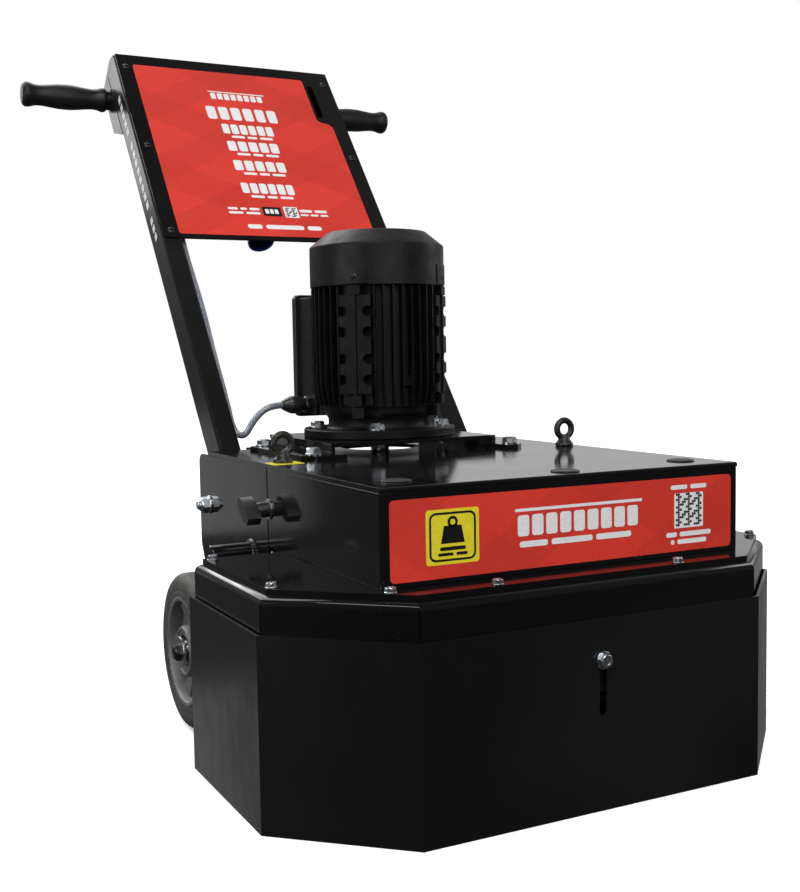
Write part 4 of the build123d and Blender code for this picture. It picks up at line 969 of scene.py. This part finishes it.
def gland(name, place, node):
    """Cable gland: hexagon base, neck, fluted clamping nut and a tapered seal."""
    def flutes(radius, height, turn):
        return radius - 0.45 * (0.5 + 0.5 * math.cos(18 * turn)) * (radius > 9.5)

    bm = bmesh.new()
    add_hex(bm, 22, 0, 7, turn=0.26)
    add_lathe(bm, disc(9.5, 6, 15.4), 40)
    add_lathe(bm, [(0, 14.8), (11.4, 14.8), (12.2, 15.8), (12.2, 26), (11.4, 28.6), (9.9, 31.6), (8.2, 35.5),
                   (6.6, 38.6), (5.7, 39.9), (4.6, 40), (4.6, 38.5), (0, 38.5)], 108, radius_at=flutes)
    piece(name, bm, "plastic_black", BODY_OF[node], place, node)


gland("motor_gland_moulding", facing_x(-56, GLAND_Y, GLAND_Z, -1), "motor_gland")
panel_gland_at = on_handle(SWITCH_LEFT, PANEL_GLAND_DEPTH, PANEL_GLAND_HEIGHT)
gland("panel_gland_moulding", frame_of(panel_gland_at, UP_HANDLE, (-1, 0, 0)), "panel_gland")

# ---- switch box, inlet and buttons
bm = bmesh.new()
for low, high in ((-12, 24.9), (-34.9, -12.6)):
    part = bmesh.new()
    add_prism(part, rounded(SWITCH_LEFT, 512.2, 130, 699.8, 7), low, high)
    bevel_edges(part, 1.6, 3)
    merge(bm, part)
add_prism(bm, rounded(SWITCH_LEFT + 2.5, 514.7, 127.5, 697.3, 5), -13, -11.6)
SWITCH_SCREW = [(0, -34.5), (4.4, -34.5), (4.4, -36.2), (3.5, -36.9), (1, -36.9), (0.9, -35.8), (0, -35.8)]
for x in (SWITCH_LEFT + 10, 120):
    for height in (522, 690):
        add_lathe(bm, SWITCH_SCREW, 28, x, height)
piece("switch_box_moulding", bm, "plastic_black", "handle", handle_front(0, 0, 0), "switch_box")

bm = bmesh.new()
mouth = frame_of(on_handle(-24, 0, 512), (1, 0, 0), -UP_HANDLE)
add_lathe(bm, [(0, 0), (21, 0), (21, 6), (19.5, 7), (19, 12), (19, 30), (20.8, 31), (21, 32), (21, 37), (20.2, 38),
               (17.9, 38), (17.5, 37), (17.5, 8), (0, 8)], 72,
          radius_at=lambda r, z, t: r + (0.5 * (math.cos(16 * t) > 0.3) if 10 < z < 31 and r > 18.5 else 0))
for k in range(3):
    t = math.radians(90 + 120 * k)
    add_lathe(bm, [(0, 7), (2.2, 7), (2.2, 31), (1.4, 32), (0, 32)], 20, 11 * math.cos(t), 11 * math.sin(t))
piece("power_inlet_moulding", bm, "plastic_blue", "handle", mouth, "power_inlet")

start_place = handle_back(-45, BUTTON_DEPTH, BUTTON_HEIGHT)
bm = bmesh.new()
add_lathe(bm, [(0, 0), (10.9, 0), (10.9, 12.6), (10.2, 14.4), (8.6, 15), (6, 14.2), (0, 13.6)], 64)
piece("start_button_cap", bm, "plastic_green", "start_button", start_place, "start_button")
stop_place = handle_back(45, BUTTON_DEPTH, BUTTON_HEIGHT)
bm = bmesh.new()
add_lathe(bm, [(0, 0), (7.9, 0), (7.9, 15.6), (13, 15.8), (16.6, 17.2), (17, 19.2), (16.2, 22), (13.6, 24),
               (9, 24.9), (0, 25)], 72)
piece("stop_button_cap", bm, "plastic_red", "stop_button", stop_place, "stop_button")
bm = bmesh.new()
for place, inner, outer, top in ((start_place, 11.5, 15, 12.6), (stop_place, 8.6, 15, 11.2)):
    rim = [(inner, 10), (outer, 10), (outer, top - 0.7), (outer - 1.2, top), (inner + 0.8, top),
           (inner, top - 0.6), (inner, 10)]
    add_turned(bm, place, rim, 64)
piece("button_bezels", bm, "bright_steel", "handle")

# ---- grips
GRIP = [
    (196, 11.2), (196, 17.2), (196.8, 18.4), (199, 19.6), (202, 20), (205.5, 19.2), (210.5, 17.4), (218, 16.6),
    (229, 17.4), (242, 19.2), (253, 20.3), (262, 20.5), (276, 20), (288, 18.5), (300, 17.1), (308, 16.8), (314, 17.4),
    (319, 18.8), (323, 19.9), (326, 20.2), (329.4, 19.6), (332, 17.8), (333.6, 15), (334, 11), (333.8, 4), (333.2, 0),
]
for side, name in SIDES:
    bm = bmesh.new()
    place = frame_of(on_handle(0, GRIP_DEPTH, GRIP_HEIGHT), UP_HANDLE, (side, 0, 0))
    add_lathe(bm, [(radius, along) for along, radius in GRIP] + [(0, 326.5), (11.2, 326.5), (11.2, 196)], 80)
    piece(f"grip_{name}_moulding", bm, "rubber_black", "handle", place, f"grip_{name}", sharp=50)

# ---- printed signs
SIGN_UV = 400


def flat_piece(name, outlines, finish, face, heights=PRINT):
    """Thin printed film over outlines on a face, given as its body and frame, with UVs in its own plane."""
    bm = bmesh.new()
    for outline in outlines:
        add_prism(bm, outline, *heights)
    layer = bm.loops.layers.uv.new("UVMap")
    for loop in (loop for polygon in bm.faces for loop in polygon.loops):
        loop[layer].uv = (loop.vert.co.x / SIGN_UV, loop.vert.co.y / SIGN_UV)
    piece(name, bm, finish, *face)


def letter_blocks(x0, x1, middle, height, count, gap=0.24):
    """Plain blocks in place of a word."""
    pitch = (x1 - x0) / count
    return [rounded(x0 + pitch * i, middle - height / 2, x0 + pitch * (i + 1 - gap), middle + height / 2,
                    height * 0.12, 2) for i in range(count)]


def line_blocks(x0, x1, middle, height, words=(5, 3, 4)):
    """Dashes in place of a line of small print."""
    unit = (x1 - x0) / (sum(words) + 0.8 * (len(words) - 1))
    outlines, x = [], x0
    for word in words:
        outlines.append(rounded(x, middle - height / 2, x + unit * word, middle + height / 2, height * 0.4, 3))
        x += unit * (word + 0.8)
    return outlines


def dot_grid(x0, y0, size, count):
    """Plain pattern of small squares that says nothing."""
    cell = size / count
    square = ((0.05, 0.05), (0.95, 0.05), (0.95, 0.95), (0.05, 0.95))
    return [[(x0 + cell * (i + a), y0 + cell * (j + b)) for a, b in square]
            for i in range(count) for j in range(count) if (i * i + 3 * j + 2 * i * j) % 5 < 2]


PANEL = ("handle", handle_front(0, PANEL_FACE, 0))
HANDLE_SIGN = [
    (-161, 461), (160, 461), (162.6, 462.2), (163.8, 465), (163.8, 722), (162.4, 729), (158, 733.4), (151, 735.8),
    (143.6, 738), (139.4, 741.6), (137.6, 747), (137.6, 843), (136.4, 846), (133.5, 847), (-161, 847), (-164, 845.8),
    (-165, 843), (-165, 465), (-164, 462.2),
]
flat_piece("handle_sign", [HANDLE_SIGN], "sign_red", PANEL, FILM)
rows = letter_blocks(-44, 50, 784, 15, 8) + [rounded(-47, 794, 53, 796.4, 0.8, 2)]
rows += letter_blocks(-60, 68, 742, 31, 6)
for middle, count, width in ((704, 6, 92), (663, 5, 92), (618, 5, 92), (566, 6, 92)):
    rows += letter_blocks(4 - width / 2, 4 + width / 2, middle, 23, count, 0.2)
    rows += line_blocks(6 - 36, 6 + 36, middle - 18.5, 5.5, (4, 3, 4))
for line in ((-76, -24, 519, 5, (3, 2, 3)), (-76, -24, 510, 5, (4, 4)), (44, 92, 519, 6, (4, 4)),
             (44, 92, 510, 4, (3, 3, 3)), (-52, 72, 481, 9, (3, 8, 3))):
    rows += line_blocks(*line)
rows += [rounded(17, 503, 41, 527, 1, 2)]
flat_piece("handle_sign_print", rows, "print_white", PANEL)
rows = [rounded(-19, 505, 12, 525, 2, 3)] + dot_grid(19, 505, 20, 9)
flat_piece("handle_sign_dark_print", rows, "print_black", PANEL, (0.3, 0.46))
flat_piece("handle_sign_dark_mark", letter_blocks(-15, 9, 515, 10, 3), "print_white", PANEL, (0.44, 0.52))

# plain blocks in place of the printed address on the left tube
rows = []
for start, end, count in ((474, 524, 3), (540, 690, 8), (706, 800, 5)):
    rows += letter_blocks(start, end, 0, 11, count, 0.3)
TUBE_SIDE = ("handle", frame_of(on_handle(-TUBE_OUTSIDE, 0, 0), UP_HANDLE, (-1, 0, 0)))
flat_piece("upright_print", rows, "print_white", TUBE_SIDE, (0.02, 0.16))

BOX = ("chassis", frame_of((0, BOX_FRONT, 0), (1, 0, 0), (0, -1, 0)))
flat_piece("front_sign", [rounded(-206, 239, 206, 317, 5)], "sign_red", BOX, FILM)
rows = letter_blocks(-66, 84, 282, 21, 9, 0.2) + [rounded(-69, 296, 86, 299, 0.8, 2)]
rows += line_blocks(-64, 72, 263.5, 6, (6, 9, 8)) + [rounded(128.5, 263.5, 167.5, 300.5, 1.5, 2)]
for line in ((124, 172, 307, 4.6, (4, 4)), (118, 178, 257, 5, (3, 9)), (124, 172, 249, 5, (1, 8))):
    rows += line_blocks(*line)
flat_piece("front_sign_print", rows, "print_white", BOX)
flat_piece("front_sign_grid", dot_grid(130.5, 265.5, 35, 13), "print_black", BOX, (0.4, 0.5))
flat_piece("front_label", [rounded(-168, 252, -110, 305, 3)], "print_yellow", BOX)
bm = bmesh.new()
add_tube(bm, rounded(-164.5, 255, -113.5, 302, 7), rounded(-162.3, 257.2, -115.7, 299.8, 5), 0.4, 0.5)
add_prism(bm, [(-152, 272), (-126, 272), (-129.5, 289), (-148.5, 289)], 0.4, 0.5)
add_tube(bm, circle(5.6, 32, -139, 292.5), circle(2.9, 32, -139, 292.5), 0.4, 0.5)
for outline in line_blocks(-153, -125, 267, 3.6, (6,)) + line_blocks(-155, -123, 261.6, 3, (4, 3)):
    add_prism(bm, outline, 0.4, 0.5)
piece("front_label_mark", bm, "print_black", *BOX)

# a small warning-yellow patch on the lid beside the left lifting eye, left blank
label = rounded(-214, FRONT + 322, -176, FRONT + 354, 2.5)
flat_piece("lid_label", [label], "print_yellow", ("chassis", level(0, 0, LID_TOP)), FILM)

# ---- CAD shapes that stay as they are
for node in NODES:
    if node not in STOOD_FOR:
        materials = NODES[node].data.materials
        materials.clear()
        materials.append(FINISHES[SLOT_OF[node]])

# ---- floor and light
bm = bmesh.new()
bm.faces.new([bm.verts.new((x, y, -0.5)) for x, y in circle(7000, 96)])
mesh = bpy.data.meshes.new("floor")
bm.to_mesh(mesh)
bm.free()
mesh.transform(WORLD)
floor = new_object("floor", mesh)
f = Finish("floor_paper", (0.88, 0.88, 0.88), 0.9, Emission_Color=(1, 1, 1))
reach = f.node("VectorMath", operation="LENGTH")
f.feed(reach.inputs[0], f.node("TexCoord").outputs["Object"])
f.feed(f.shader.inputs["Emission Strength"], f.ranged(reach.outputs["Value"], 0.9, 3, 0.45, 1))
f.paint(f.mixed(f.noise(1.5), (0.87, 0.87, 0.87), (0.9, 0.9, 0.9)))
mesh.materials.append(f.material)
floor.visible_glossy = floor.visible_diffuse = floor.visible_shadow = False

# A bright wall behind and above the machine, fading to a dark room in front and low down.
world = bpy.data.worlds.new("studio")
scene.world = world
world.use_nodes = True
sky = Nodes(world.node_tree)
background = sky.tree.nodes["Background"]
direction = sky.node("SeparateXYZ")
sky.feed(direction.inputs[0], sky.node("TexCoord").outputs["Generated"])
fades = [sky.ranged(direction.outputs[axis], *limits) for axis, limits in
         (("Y", (-0.3, 0.8, 0.14, 0.78)), ("Z", (-0.05, 0.12, 0.3, 1)), ("X", (0.3, 0.5, 0.3, 1)))]
pick = sky.node("Mix", data_type="FLOAT")
sky.feed(pick.inputs[0], sky.node("LightPath").outputs["Is Camera Ray"])
sky.feed(pick.inputs[2], sky.times(sky.times(fades[0], fades[1]), fades[2]))
pick.inputs[3].default_value = 1
sky.feed(background.inputs["Strength"], pick.outputs[0])
background.inputs["Color"].default_value = (1, 1, 1, 1)


def softbox(name, place, aim, width, height, power):
    light = bpy.data.lights.new(name, "AREA")
    light.shape = "RECTANGLE"
    light.size, light.size_y, light.energy = width, height, power
    turn = (Vector(aim) - Vector(place)).to_track_quat("-Z", "Y")
    holder = new_object(name, light)
    holder.matrix_world = Matrix.Translation(place) @ turn.to_matrix().to_4x4()
    holder.visible_camera = False


softbox("ceiling", (-0.6, 2.7, 3.6), (0, 0, 0.3), 4, 2.6, 120)
softbox("key", (-0.9, -1.9, 3), (0, 0, 0.5), 1.4, 1.4, 50)
softbox("front", (-0.2, -3.2, 1.5), (0, 0, 0.3), 2.2, 1.2, 42)
softbox("left", (-2.4, -0.6, 0.9), (0, 0, 0.3), 1.2, 1.2, 22)
softbox("rear_left_low", (-0.7, 1.9, 0.1), (-0.25, 0, 0.1), 0.8, 0.35, 0.34)
softbox("rear_left_floor", (-1, 1.9, -0.85), (-0.32, -0.3, 0.1), 0.6, 0.6, 0.46)
softbox("back", (-0.9, 3, 2.3), (0, 0.2, 0.5), 1.6, 1.2, 30)
softbox("rear_left_high", (-0.65, 1.9, 1.35), (-0.2, 0.3, 0.8), 0.7, 0.9, 3.2)
softbox("right", (2.4, -0.4, 1.2), (0, -0.2, 0.35), 0.8, 1.4, 12)
scene.view_settings.view_transform = "Standard"
